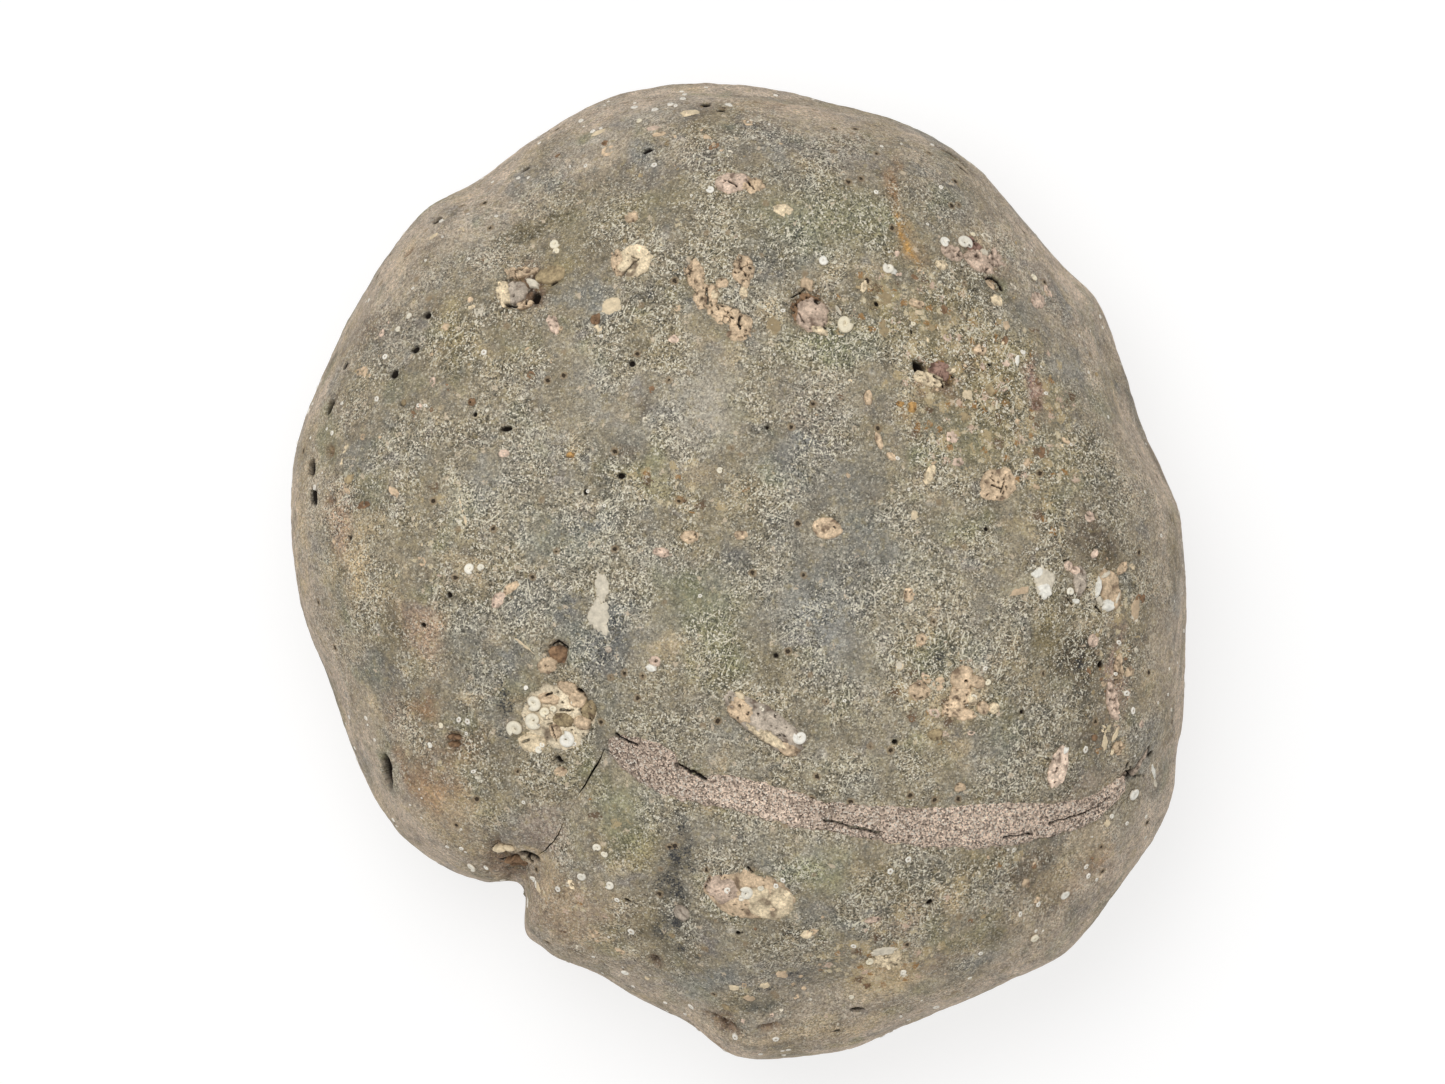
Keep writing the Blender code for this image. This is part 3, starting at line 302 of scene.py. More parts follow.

# Stains and changes of colour, and a few spots of painted shade in dents: x, y, half width, half height,
# turn, colour, strength
STAINS_AND_DENT_SHADE = (
    # over the top and the upper left
    (-10, 45, 9, 15, -8, "pale_grey", 0.7), (-40, 52, 7, 12, 0, "blue_grey", 0.5),
    (-80, 69, 6, 9, 35, "olive_ochre", 0.6), (-86, 74, 3, 4, -35, "dark_brown", 0.5),
    # the two dark_olive spots here are painted shade in the worn groove
    (-62, 98, 4, 4, 30, "dark_olive", 0.9), (-55, 103, 6, 2.6, 22, "dark_olive", 0.9),
    (-73, 94, 8, 5, 50, "cool_grey", 0.45), (-78, 107, 4, 3, 30, "ochre", 0.4),
    (-93, 90, 5, 3, 45, "ochre", 0.4), (-50, 87, 3.4, 5, 0, "olive_ochre", 0.6),
    (-57.5, 82, 5, 7, 0, "maroon", 0.55), (-24, 78, 4.5, 3.6, 10, "blue_black", 0.6),
    (-18, 86, 3.5, 5, 0, "dark_grey", 0.55), (-36, 66, 7, 3, 30, "dark_grey", 0.3),
    (-20, 24, 8, 4, -10, "olive_ochre", 0.35), (-9, 27, 4, 3, 0, "ochre", 0.4),
    (-33, 29, 3.4, 3, 0, "blue_black", 0.3), (-56, 11, 7, 8, 20, "teal", 0.6),
    (-72, 24, 8, 6, 30, "blue", 0.55), (-79, 18, 2.4, 11, 14, "cream", 0.4),
    (-43, 6, 9, 7, 0, "teal", 0.5), (-35, 17, 8, 7, 0, "blue", 0.35),
    (0, 4, 5.5, 5, -20, "blue_black", 0.55), (-22, 6, 7, 5, 0, "cool_grey", 0.4),
    (-110, 12, 5, 9, 4, "rust_pink", 0.8), (-106, 1, 5, 8, -8, "ochre", 0.85),
    (-104, 19, 4, 3, 0, "dark_brown", 0.35), (-121, 12, 4, 9, 8, "ochre", 0.55),
    (-104, 32, 6, 6, 0, "blue", 0.5), (-90, 32, 6, 5, 0, "cool_grey", 0.5),
    (-113, 34, 5, 5, 0, "olive", 0.5), (-112, 56, 5, 7, 20, "cool_grey", 0.3),
    # the dark_olive spots at (-33, 113) and (-45, 110) are painted shade along the same groove
    (-30, 105, 18, 6, 10, "olive", 0.45), (-33, 113, 7, 4, 0, "dark_olive", 0.35),
    (-45, 110, 8, 4, 20, "dark_olive", 0.3), (-25, 114, 7, 4, 0, "lavender", 0.4),
    (-10, 117, 8, 4, 0, "lavender", 0.35), (8, 122, 14, 6, -10, "navy", 0.5),
    (30, 116, 12, 6, -16, "lavender", 0.5), (12, 133, 16, 4, 0, "rust_pink", 0.3),
    (61, 117, 9, 3, -36, "dark_brown", 0.5),
    # over the upper right
    # the dark_olive spot at (10, 90) is painted shade in a shallow dent
    (20, 98, 18, 7, -10, "green", 0.55), (10, 90, 8, 6, 0, "dark_olive", 0.4),
    (33, 101, 12, 6, -12, "green", 0.5), (44, 109, 1.8, 7, 0, "rust", 0.6),
    (46.5, 97, 2.2, 5, 14, "orange", 0.4), (50.5, 90, 2.0, 4, 30, "orange", 0.4),
    (43, 74, 2.6, 8, 4, "olive_ochre", 0.75), (28, 87, 6, 3, -10, "ochre", 0.3),
    (22, 65, 10, 6, 0, "green", 0.45), (10, 71, 2.6, 4.4, 10, "ochre", 0.55),
    (20, 46, 12, 8, -20, "lavender", 0.35), (20, 28, 10, 9, 0, "navy", 0.5),
    (34, 26, 7, 7, 0, "blue", 0.5), (12, 13, 7, 6, 0, "navy", 0.45),
    (38, 8, 9, 8, 0, "blue", 0.45), (35, 68, 5, 6, 0, "green", 0.45),
    (68, 76, 4, 4, 0, "blue_black", 0.5), (66, 61, 3.6, 3, 0, "maroon", 0.6),
    (71, 87, 6, 5, -30, "maroon", 0.45), (60, 76, 12, 8, 0, "olive_deep", 0.5),
    (72, 47, 15, 18, 0, "olive_deep", 0.6), (56, 54, 7, 5, -40, "maroon", 0.7),
    (49, 46, 3, 2.6, 0, "orange", 0.5), (55, 40, 2.6, 6, 20, "dark_grey", 0.5),
    (85, 53, 2.6, 8, 6, "rose", 0.75), (89, 53, 3, 5, 0, "olive_ochre", 0.5),
    (89, 30, 7, 10, 0, "olive", 0.45), (98, 56, 5, 9, 14, "cool_grey", 0.5),
    (103, 25, 6, 12, 4, "dark_grey", 0.6), (99, 9, 8, 6, -20, "dark_brown", 0.85),
    (101, 4, 5, 3, 0, "black_brown", 0.6), (66, 38, 8, 6, 0, "green", 0.35),
    (52, 62, 10, 10, 0, "olive_deep", 0.45), (78, 64, 8, 7, -20, "olive_ochre", 0.3),
    (62, 104, 12, 5, -38, "lavender", 0.35), (90, 82, 12, 5, -52, "lavender", 0.25),
    # across the middle and the left
    (-16, -8, 8, 8, 0, "green", 0.45), (-6, -12, 8, 9, 0, "green_deep", 0.55),
    (-2, -25, 6, 7, 0, "green_deep", 0.65), (-14, -28, 9, 5, 0, "olive_ochre", 0.2),
    (-37, -22, 6, 9, -25, "navy", 0.85), (-33, -14, 4, 8, 0, "blue", 0.7),
    (-47, -12, 5, 8, 15, "navy", 0.65), (-60, -9, 8, 5, 10, "blue", 0.6),
    (-75, -20, 9, 10, 0, "blue", 0.5), (-45, -20, 5, 4, 0, "teal", 0.6),
    (-36, -38, 6, 8, 0, "teal", 0.3), (-20, -42, 10, 5, -10, "cool_grey", 0.3),
    (-97, -12, 3.6, 4, 0, "dark_brown", 0.5), (-89, -17, 5, 9, 12, "rust_pink", 0.75),
    (-92, -25, 4, 4, 0, "olive", 0.45), (-102, -26, 6, 7, 0, "navy", 0.5),
    (-115, -17, 3, 3, 0, "dark_brown", 0.4), (-97, -42, 3, 6, 0, "maroon", 0.35),
    (-89, -38, 5, 4, 0, "rust", 0.7), (-86, -52, 4, 6, 0, "maroon", 0.35),
    (-85, -62, 7, 9, 0, "burnt", 0.75), (-78, -67, 6, 5, 0, "ochre", 0.3),
    (-93, -58, 4, 6, 15, "rust", 0.7), (-78, -76, 10, 5, -12, "ochre", 0.5),
    (-78, -50, 4, 5, 0, "rust", 0.35), (-75, -61, 4, 3, 0, "dark_grey", 0.3),
    (-66, -76, 6, 5, 0, "dark_brown", 0.4), (-43, -56, 3.6, 5, -20, "green_deep", 0.6),
    (-40, -42, 2.2, 6, 0, "dark_olive", 0.5), (-55, -71, 6, 8, -30, "smear", 0.75),
    (-55, -77, 5, 4, -30, "mauve", 0.6), (22, -8, 15, 14, 10, "blue", 0.6),
    (26, -16, 7, 8, 0, "pale_blue", 0.5), (30, -30, 10, 7, 0, "blue", 0.35),
    (18, -39, 6, 3, -25, "dark_olive", 0.45), (50, 2, 10, 7, 0, "teal", 0.3),
    (68, -11, 8, 6, 0, "cool_grey", 0.35), (57, -25, 4, 5, 0, "black_green", 0.6),
    (52, -18, 3, 2.6, 0, "ochre", 0.6), (48, -32, 4, 3, 0, "ochre", 0.55),
    (64, -36, 7, 6, 0, "ochre", 0.6), (58, -46, 5, 3.4, 0, "olive_ochre", 0.45),
    (76, -42, 6, 8, 0, "green", 0.35), (88, -19, 6, 10, -8, "olive_deep", 0.65),
    (98, -25, 7, 8, 10, "black_brown", 0.75), (97, -35, 4, 5, 0, "black_brown", 0.55),
    (103, -44, 5, 6, 0, "dark_brown", 0.6), (92, -46, 7, 5, 0, "dark_grey", 0.5),
    (108, -28, 2.6, 12, 8, "rose", 0.5), (102, -56, 8, 7, 0, "dark_grey", 0.45),
    (100, -64, 9, 4, 10, "mauve", 0.4), (30, -55, 14, 2.2, -4, "cream", 0.4),
    (80, -4, 7, 2, 16, "cream", 0.5), (84, 3, 4, 2.4, 20, "dark_brown", 0.4),
    # on the broken piece
    (-33, -66, 7, 6, 0, "pale_green", 0.55), (-32, -75, 5, 4, 0, "green_deep", 0.6),
    (-28, -79, 4, 4, 0, "olive_ochre", 0.65), (-48, -95, 15, 11, 10, "rust_pink", 0.5),
    (-16.5, -78, 3.0, 9, 4, "blue_black", 0.55),
    (-17, -96, 4.0, 12, 2, "blue_black", 0.55), (-46, -92, 9, 6, 20, "ochre", 0.35),
    (-40, -104, 8, 5, -30, "ochre", 0.3), (-8, -105, 6, 6, 0, "lavender", 0.4),
    (-10, -118, 7, 4, 0, "teal", 0.5), (14, -116, 11, 7, -6, "navy", 0.45),
    (6, -124, 6, 3, 0, "black_green", 0.5), (30, -114, 5, 6, 0, "black_green", 0.35),
    (23, -84, 7, 6, 0, "pale_green", 0.85), (10, -78, 6, 4, 0, "cream", 0.2),
    (2, -76, 9, 4, -8, "cool_grey", 0.25), (53, -86, 6, 5, 0, "dark_grey", 0.55),
    (55, -92, 4, 2, 0, "dark_brown", 0.5), (70, -84, 8, 5, 0, "olive_deep", 0.5),
    (40, -86, 5, 4, 0, "dark_brown", 0.3), (48, -98, 8, 5, 20, "rust_pink", 0.35),
    (67, -103, 8, 5, 15, "olive", 0.6), (86, -86, 8, 7, 30, "dark_brown", 0.8),
    (90, -93, 4, 8, -30, "black_brown", 0.55), (75, -103, 8, 3.6, 25, "dark_brown", 0.5),
    (105, -83, 5, 4, 40, "rust", 0.55), (96, -93, 5, 3, 30, "rust_pink", 0.4),
    (45, -115, 9, 7, 0, "ochre", 1.0), (62, -112, 8, 4, 20, "rust_pink", 0.35),
    (-4, -127, 5, 3, 0, "maroon", 0.5), (18, -132, 16, 3.6, 0, "ochre", 0.6),
    (36, -129, 10, 4, 14, "ochre", 0.5), (-6, -133, 6, 3, 0, "rust", 0.35),
)
# Blue-black soot, in blotches: x, y, half width, half height, turn, strength
SOOT = (
    (-66.2, -36, 2.6, 5.4, -6, 1.0), (-67, -47, 2.6, 3.4, 0, 0.6), (-62, -23, 3, 5, 20, 0.35),
    (-15.5, -70, 2.2, 7, 10, 0.75), (-16.8, -80, 3.4, 6, 8, 0.8), (-18, -90, 4.2, 6, 0, 0.95),
    (-18.2, -101, 3.6, 6, 0, 0.7), (-12, -83, 4, 2.4, 0, 0.6), (-6, -108, 5, 3, 0, 0.4),
    (-34, -18, 4, 6, 10, 0.55), (-47, -9, 3, 6, 10, 0.45), (-37, -23, 6, 3, -20, 0.4),
    (0, 3, 5, 4, 0, 0.35), (57, -25, 3, 4, 0, 0.45), (14, -117, 10, 6, 0, 0.45),
    (98, -26, 6, 7, 0, 0.4), (-100, -27, 4, 5, 0, 0.3), (-24, 78, 4, 3, 10, 0.3),
    (5, -124, 6, 3, 0, 0.4), (88, -90, 6, 6, 30, 0.35), (72, -12, 6, 5, 0, 0.25),
)
# Narrow streaks: x, y, x, y, half width, colour, strength
VEINS = (
    (44, 110, 45, 103, 0.9, "rust", 0.6), (45.2, 101, 46.6, 96, 0.9, "orange_bright", 0.85),
    (46.6, 96, 48.6, 91, 1.0, "orange_bright", 0.75), (48.6, 91, 52, 86.6, 0.9, "orange_bright", 0.65),
    (-62, -17, -55.5, -25, 0.5, "cream", 0.7), (78, -5, 83, -5, 0.8, "cream", 0.5),
    (-79.5, 26, -77, 10, 0.6, "cream", 0.5), (-30, -50, -36, -52, 0.5, "smear", 0.5),
)
# Thick, crisp soot: x, y, half width, half height, turn
STREAKS = (
    (-15.9, -72.5, 0.8, 3.4, 4), (-17, -81.5, 1.9, 3.0, 0), (-12.6, -84.6, 1.5, 1.2, 0),
    (-16.6, -91.8, 1.9, 2.4, 0), (-17.2, -100, 1.7, 2.6, 0), (-15.8, -107, 1.2, 1.6, 0),
    (-11, -109.2, 1.1, 0.9, 0), (-19.6, -86.4, 1.2, 1.4, 0), (-67.4, -31.4, 0.9, 1.5, 10),
    (-66.2, -35, 1.4, 1.9, 0), (-65, -39, 1.1, 1.6, -10), (-68.2, -46.4, 0.9, 1.1, 0),
    (-65.8, -48, 0.8, 0.8, 0), (-34.4, -14.5, 0.8, 2.8, 8), (-37.5, -24, 2.2, 0.8, -20),
    (-47.8, -8, 0.8, 1.8, 10), (57.2, -24.4, 1.3, 1.5, 0), (97.5, -26, 1.6, 2.2, 0),
    (14.5, -115.4, 2.6, 1.2, 10), (9.5, -119, 1.8, 0.9, 0), (-24.5, 78, 1.4, 0.9, 0),
)
# Where ochre and cream blots crowd the stone: x, y, half width, half height, turn, strength
BLOTTED = (
    (70, 50, 30, 26, -20, 1.0), (48, 76, 22, 12, 0, 0.8), (90, 20, 12, 20, 0, 0.5),
    (-12, 24, 22, 9, -8, 0.55), (58, -36, 20, 16, 0, 0.55), (-90, 10, 24, 30, 0, 0.35),
    (-20, 95, 40, 16, 0, 0.35), (44, -108, 30, 18, 10, 0.6), (70, -85, 30, 14, 20, 0.4),
    (108, -30, 10, 36, 0, 0.5), (-45, -94, 16, 14, 0, 0.45), (-36, -72, 14, 12, 0, 0.4),
    (20, 112, 60, 12, -6, 0.3), (-85, -58, 20, 22, 0, 0.35),
)
# Where the skin is smooth, with few pale marks: x, y, half width, half height, turn
SMOOTH = (
    (-84, -66, 14, 12, -20), (45, -117, 14, 7, 12), (-8, 45, 10, 12, 0), (-54, -70, 7, 12, -30),
    (-48, -93, 14, 12, 10),
)
COLOURS = {
    "stone": (162, 151, 129), "flank": (213, 193, 172), "pale_grey": (190, 182, 168),
    "cool_grey": (148, 145, 136), "blue_grey": (158, 155, 147), "blue": (136, 138, 135),
    "pale_blue": (158, 158, 154), "navy": (120, 121, 120), "lavender": (148, 141, 136),
    "teal": (138, 142, 132), "green": (144, 144, 112), "green_deep": (132, 134, 98),
    "pale_green": (168, 168, 134), "olive": (152, 143, 110), "warm_olive": (154, 141, 112),
    "olive_ochre": (178, 162, 116), "olive_deep": (142, 128, 90), "ochre": (212, 188, 150),
    "rust": (170, 130, 92), "rust_pink": (196, 165, 138), "orange": (184, 145, 94),
    "rose": (176, 136, 124), "mauve": (160, 143, 130), "dark_olive": (106, 97, 76),
    "dark_brown": (112, 98, 82), "black_brown": (82, 70, 54), "black_green": (92, 92, 76),
    "dark_grey": (124, 119, 106), "maroon": (122, 90, 78), "blue_black": (92, 93, 92),
    "cream": (205, 195, 165), "burnt": (182, 144, 106), "orange_bright": (208, 160, 92),
    # "ring" is painted shade round the shoulder
    "smear": (192, 174, 158), "ring": (150, 138, 116), "cavity": (150, 116, 88),
    "cavity_dark": (64, 46, 36),
}

# ---------------------------------------------------------------- mesh sizes

TOP_EDGE = 1.72
FLANK_EDGE = 2.4
BELLY_EDGE = 4.0
EDGE_BY_LEVEL = (               # over the height
    (15, 45, 70, 100), (BELLY_EDGE, FLANK_EDGE, FLANK_EDGE * 0.85, TOP_EDGE),
)
AWAY_EDGE = 9.0                 # on the part of each form that the other piece takes
AWAY_FROM = 3.0                 # how far past the break that part starts
EDGE_GROWTH = 0.45              # of an edge for each millimetre away from a hole or a slit
BREAK_EDGE = 0.75
BREAK_BAND = 1.5                # half width of the band along the break with such edges
BREAK_GROWTH = 0.35
REFINE_ROUNDS = 6
FIRST_ROUNDS = 5                # of the ball that each stone's mesh starts from


def outline_knots():
    """The outline's points as angles about CENTRE, radii and slopes, three times round."""
    points = np.array(OUTLINE) - CENTRE
    knots = np.arctan2(points[:, 1], points[:, 0])
    order = np.argsort(knots)
    knots = knots[order]
    radii = np.hypot(points[:, 0], points[:, 1])[order]
    knots = np.concatenate([knots - 2 * math.pi, knots, knots + 2 * math.pi])
    radii = np.tile(radii, 3)
    return knots, radii, np.gradient(radii, knots)


KNOTS = outline_knots()


def outline_radius(angle):
    """Distance from CENTRE to the outline, on a smooth closed curve through its points."""
    knots, radii, slopes = KNOTS
    k = np.searchsorted(knots, angle) - 1
    span = knots[k + 1] - knots[k]
    t = (angle - knots[k]) / span
    start = (1 + 2 * t) * (1 - t) ** 2 * radii[k] + t * (1 - t) ** 2 * span * slopes[k]
    end = t * t * (3 - 2 * t) * radii[k + 1] + t * t * (t - 1) * span * slopes[k + 1]
    return start + end


def harmonics():
    """The outline's lowest harmonics, from its radius all the way round."""
    around = np.linspace(-math.pi, math.pi, 360, endpoint=False)
    return (np.fft.rfft(outline_radius(around)) / len(around))[:LOW_HARMONICS + 1]


HARMONICS = harmonics()


def smooth_radius(angle):
    """The outline's radius with only its lowest harmonics."""
    total = np.full(angle.shape, HARMONICS[0].real)
    for n in range(1, LOW_HARMONICS + 1):
        turned = HARMONICS[n] * np.exp(1j * n * (angle + math.pi))
        total = total + 2 * turned.real
    return total


def powers(up):
    """The profile's power and height above or below the widest level."""
    return np.where(up > 0, DOME_POWER, BELLY_POWER), np.where(up > 0, DOME_RISE, BELLY_DROP)


def place(angle, radius, out, up):
    """Points and outward normals of the plain form, from how far out and up they are, 0 to 1."""
    power, height = powers(up)
    points = np.stack([CENTRE[0] + radius * out * np.cos(angle),
                       CENTRE[1] + radius * out * np.sin(angle),
                       WIDEST_LEVEL + height * up], axis=-1)
    lean = out ** (power - 1) / radius
    rise = np.abs(up) ** (power - 1) * np.sign(up) / height
    normals = np.stack([lean * np.cos(angle), lean * np.sin(angle), rise], axis=-1)
    return points, normals / np.linalg.norm(normals, axis=-1)[..., None]


def radius_at(angle, rise):
    """The form's radius where its ray rises by this much: the outline's steps fade with height."""
    share = np.exp(-(rise / OUTLINE_REACH) ** 2)
    return smooth_radius(angle) * (1 - share) + outline_radius(angle) * share


def bare_form(rays):
    """Points and outward normals of the plain form along unit rays."""
    angle = np.arctan2(rays[:, 1], rays[:, 0])
    rise = rays[:, 2]
    power, _ = powers(rise)
    out = np.hypot(rays[:, 0], rays[:, 1]) ** (2 / power)
    up = np.abs(rise) ** (2 / power) * np.sign(rise)
    return place(angle, radius_at(angle, rise), out, up)


PROJECT_ROUNDS = 4
OVER_ROUNDS = 6
OUT_LIMIT = 0.9995              # spots past the outline are taken to be just inside it


def project(points):
    """Points and normals of the plain form under points close to its skin."""
    dx, dy = points[..., 0] - CENTRE[0], points[..., 1] - CENTRE[1]
    angle = np.arctan2(dy, dx)
    power, height = powers(points[..., 2] - WIDEST_LEVEL)
    lift = (points[..., 2] - WIDEST_LEVEL) / height
    radius = outline_radius(angle)
    for _ in range(PROJECT_ROUNDS):
        out = np.hypot(dx, dy) / radius
        gauge = (out ** power + np.abs(lift) ** power) ** (1 / power)
        radius = radius_at(angle, np.abs(lift / gauge) ** (power / 2))
    return place(angle, radius, out / gauge, lift / gauge)


def over(x, y, side=1):
    """Points and normals of the plain form over x, y: on the dome if side is 1, below if -1."""
    x, y = np.asarray(x, dtype=float), np.asarray(y, dtype=float)
    angle = np.arctan2(y - CENTRE[1], x - CENTRE[0])
    power = DOME_POWER if side > 0 else BELLY_POWER
    radius = outline_radius(angle)
    for _ in range(OVER_ROUNDS):
        out = np.minimum(np.hypot(x - CENTRE[0], y - CENTRE[1]) / radius, OUT_LIMIT)
        up = (1 - out ** power) ** (1 / power)
        radius = radius_at(angle, up ** (power / 2))
    return place(angle, radius, out, side * up)


def swell_waves():
    """The heading, length and phase of each swell."""
    rng = np.random.default_rng(SWELL_SEED)
    waves = []
    for _ in range(SWELL_COUNT):
        heading = rng.normal(size=3)
        length = rng.uniform(*SWELL_LENGTHS)
        waves.append((heading / np.linalg.norm(heading), length, rng.uniform(0, 2 * math.pi)))
    return waves


WAVES = swell_waves()


def swells(points):
    """Long, low waves running all ways through the stone."""
    total = np.zeros(points.shape[:-1])
    for heading, length, phase in WAVES:
        wave = points @ heading * (2 * math.pi / length) + phase
        total = total + SWELL_STEEPNESS * length / 2 * np.sin(wave)
    return total * (1 - 0.9 * np.exp(-((points[..., 2] - WIDEST_LEVEL) / SWELL_CALM) ** 2))


def break_y(x, z):
    """Where the break runs, as y over x and z."""
    line = np.array(BREAK_LINE, dtype=float)
    y = np.interp(x, line[:, 0], line[:, 1]) + BREAK_LEAN * (z - BREAK_LEVEL)
    low = np.clip((112 - z) / 30, 0, 1)
    return y + BREAK_WANDER * low * (np.sin(z / 13 + x / 37) + 0.6 * np.sin(x / 11 - z / 9))


FORMS = [(over(x, y, side)[0], reach, height)
         for table, side in ((TOP_FORMS, 1), (BELLY_FORMS, -1)) for x, y, reach, height in table]


def broad_relief(points):
    """How far the form's swells, lumps and the break's worn valley stand out, at its points."""
    rise = swells(points)
    for middle, reach, height in FORMS:
        distance = np.linalg.norm(points - middle, axis=-1)
        rise = rise + height * np.exp(-(distance / reach) ** 2)
    reach, depth = BREAK_VALLEY
    gap = points[..., 1] - break_y(points[..., 0], points[..., 2])
    return rise - depth * np.exp(-(gap / reach) ** 2)


def waver(points, size, seed, octaves=2):
    """Smooth noise, about -1 to 1, with lumps of the given size."""
    flat = np.asarray(points).reshape(-1, 3) / size + seed * 7.31
    values = [noise.fractal(Vector(p), 0.8, 2.1, octaves) for p in flat]
    return np.array(values).reshape(np.asarray(points).shape[:-1])


def seat(x, y, turn=0.0, side=1):
    """A spot on the skin: its middle, and unit directions along it, across it and out of it."""
    middle, normal = over(x, y, side)
    middle = middle + normal * broad_relief(middle)
    level = np.array([math.cos(math.radians(turn)), math.sin(math.radians(turn)), 0])
    along = level - normal * (level @ normal)
    along = along / np.linalg.norm(along)
    return middle, along, np.cross(normal, along), normal


def spread(points, spot, wide, high):
    """How far points are from a spot, in its own half widths: 1 on its edge."""
    middle, along, across, normal = spot
    away = points - middle
    deep = away @ normal / (2.0 * max(wide, high))
    return np.sqrt((away @ along / wide) ** 2 + (away @ across / high) ** 2 + deep ** 2)


def gentle(points):
    """The low, uneven waves worn into the skin all over."""
    return 0.4 * waver(points, 16.0, 2) + 0.2 * waver(points, 5.5, 3) + 0.11 * waver(points, 2.2, 4)


def skin_under(points):
    """The worn skin under points near it, and the way out of it."""
    plain, normals = project(points)
    skin = plain + normals * broad_relief(plain)[..., None]
    return skin + normals * gentle(skin)[..., None], normals


def line_distance(x, y, ax, ay, bx, by):
    """Distance from points to a straight stretch, or to a spot where its ends are one."""
    long = max((bx - ax) ** 2 + (by - ay) ** 2, 1e-9)
    t = np.clip(((x - ax) * (bx - ax) + (y - ay) * (by - ay)) / long, 0, 1)
    return np.hypot(x - ax - t * (bx - ax), y - ay - t * (by - ay))


SLIT_NEAR = 9.0                 # how far from its middle a slit is looked for
SILT_CORE = 0.95                # the share of a patch's half widths that counts as silt


def in_silt(x, y):
    """Whether a spot seen from above is on a patch of silt."""
    for px, py, wide, high, turn, *_ in SILT:
        c, s = math.cos(math.radians(turn)), math.sin(math.radians(turn))
        along, across = (x - px) * c + (y - py) * s, (y - py) * c - (x - px) * s
        if math.hypot(along / wide, across / high) < SILT_CORE:
            return True
    return False


STONE_SLITS = [slit for slit in SLITS
               if not in_silt((slit[0] + slit[2]) / 2, (slit[1] + slit[3]) / 2)]


def slit_share(points, slits):
    """How deep in a black slit or pore each point is, 0 to 1."""
    share = np.zeros(len(points))
    x = points[:, 0] + 0.16 * waver(points, 1.3, 61)
    y = points[:, 1] + 0.16 * waver(points, 1.3, 62)
    uneven = np.clip(0.85 + 0.75 * waver(points, 1.1, 63), 0.15, 1.4)
    for ax, ay, bx, by, wide in slits:
        near = np.hypot(points[:, 0] - (ax + bx) / 2, points[:, 1] - (ay + by) / 2) < SLIT_NEAR
        if near.any():
            away = line_distance(x[near], y[near], ax, ay, bx, by) / (wide * uneven[near])
            share[near] = np.maximum(share[near], np.exp(-away ** 4))
    return share


# ---------------------------------------------------------------- stones

def split_long(rays, faces, wanted):
    """One round of splitting every edge longer than wanted, keeping the skin closed."""
    pairs = np.sort(faces[:, [[0, 1], [1, 2], [2, 0]]].reshape(-1, 2), axis=1)
    keys = pairs[:, 0] * len(rays) + pairs[:, 1]
    _, first, of_face = np.unique(keys, return_index=True, return_inverse=True)
    edges = pairs[first]
    points = bare_form(rays)[0]
    ends = points[edges]
    length = np.linalg.norm(ends[:, 0] - ends[:, 1], axis=1)
    split = length > wanted(ends.mean(axis=1))
    middles = rays[edges[split]].mean(axis=1)
    middles = middles / np.linalg.norm(middles, axis=1)[:, None]
    number = np.full(len(edges), -1)
    number[split] = len(rays) + np.arange(int(split.sum()))
    mids = number[of_face].reshape(-1, 3)
    count = (mids >= 0).sum(axis=1)
    made = [faces[count == 0]]
    for turn in range(3):
        a, b, c = np.roll(faces, -turn, axis=1).T
        ab, bc, ca = np.roll(mids, -turn, axis=1).T
        one = (count == 1) & (ab >= 0)
        two = (count == 2) & (ca < 0)
        made += [np.stack(t, axis=1)[one] for t in ((a, ab, c), (ab, b, c))]
        made += [np.stack(t, axis=1)[two] for t in ((a, ab, c), (ab, bc, c), (ab, b, bc))]
        if turn == 0:
            three = count == 3
            made += [np.stack(t, axis=1)[three]
                     for t in ((a, ab, ca), (ab, b, bc), (ca, bc, c), (ab, bc, ca))]
    return np.concatenate([rays, middles]), np.concatenate(made)


def wanted_edges(main):
    """The function that gives the edge length wanted at points of one stone."""
    spots = [(seat(x, y, turn), wide, high) for x, y, wide, high, turn, _ in HOLES]
    cavities = [(seat(x, y), max(wide, high)) for x, y, wide, high, _, _ in CAVITIES]

    def wanted(points):
        z = points[:, 2]
        edge = np.interp(z, *EDGE_BY_LEVEL)
        gap = points[:, 1] - break_y(points[:, 0], z)
        edge = np.minimum(edge, BREAK_EDGE + BREAK_GROWTH * np.maximum(0, np.abs(gap) - BREAK_BAND)
                          + 2.0 * (z < 60))
        for (middle, *_), wide, high in spots:
            beyond = np.maximum(0, np.linalg.norm(points - middle, axis=1) - 1.25 * max(wide, high))
            edge = np.minimum(edge, HOLE_EDGE * min(wide, high) + 0.12 + EDGE_GROWTH * beyond)
        for (middle, *_), reach in cavities:
            beyond = np.maximum(0, np.linalg.norm(points - middle, axis=1) - 1.1 * reach)
            edge = np.minimum(edge, CAVITY_EDGE + EDGE_GROWTH * beyond)
        for ax, ay, bx, by, wide in STONE_SLITS:
            beyond = np.maximum(0, line_distance(points[:, 0], points[:, 1], ax, ay, bx, by) - 1.4 * wide)
            edge = np.minimum(edge, SLIT_EDGE + EDGE_GROWTH * beyond + 4.0 * (z < WIDEST_LEVEL))
        away = -gap if main else gap
        return np.where(away > AWAY_FROM, np.maximum(edge, AWAY_EDGE), edge)

    return wanted


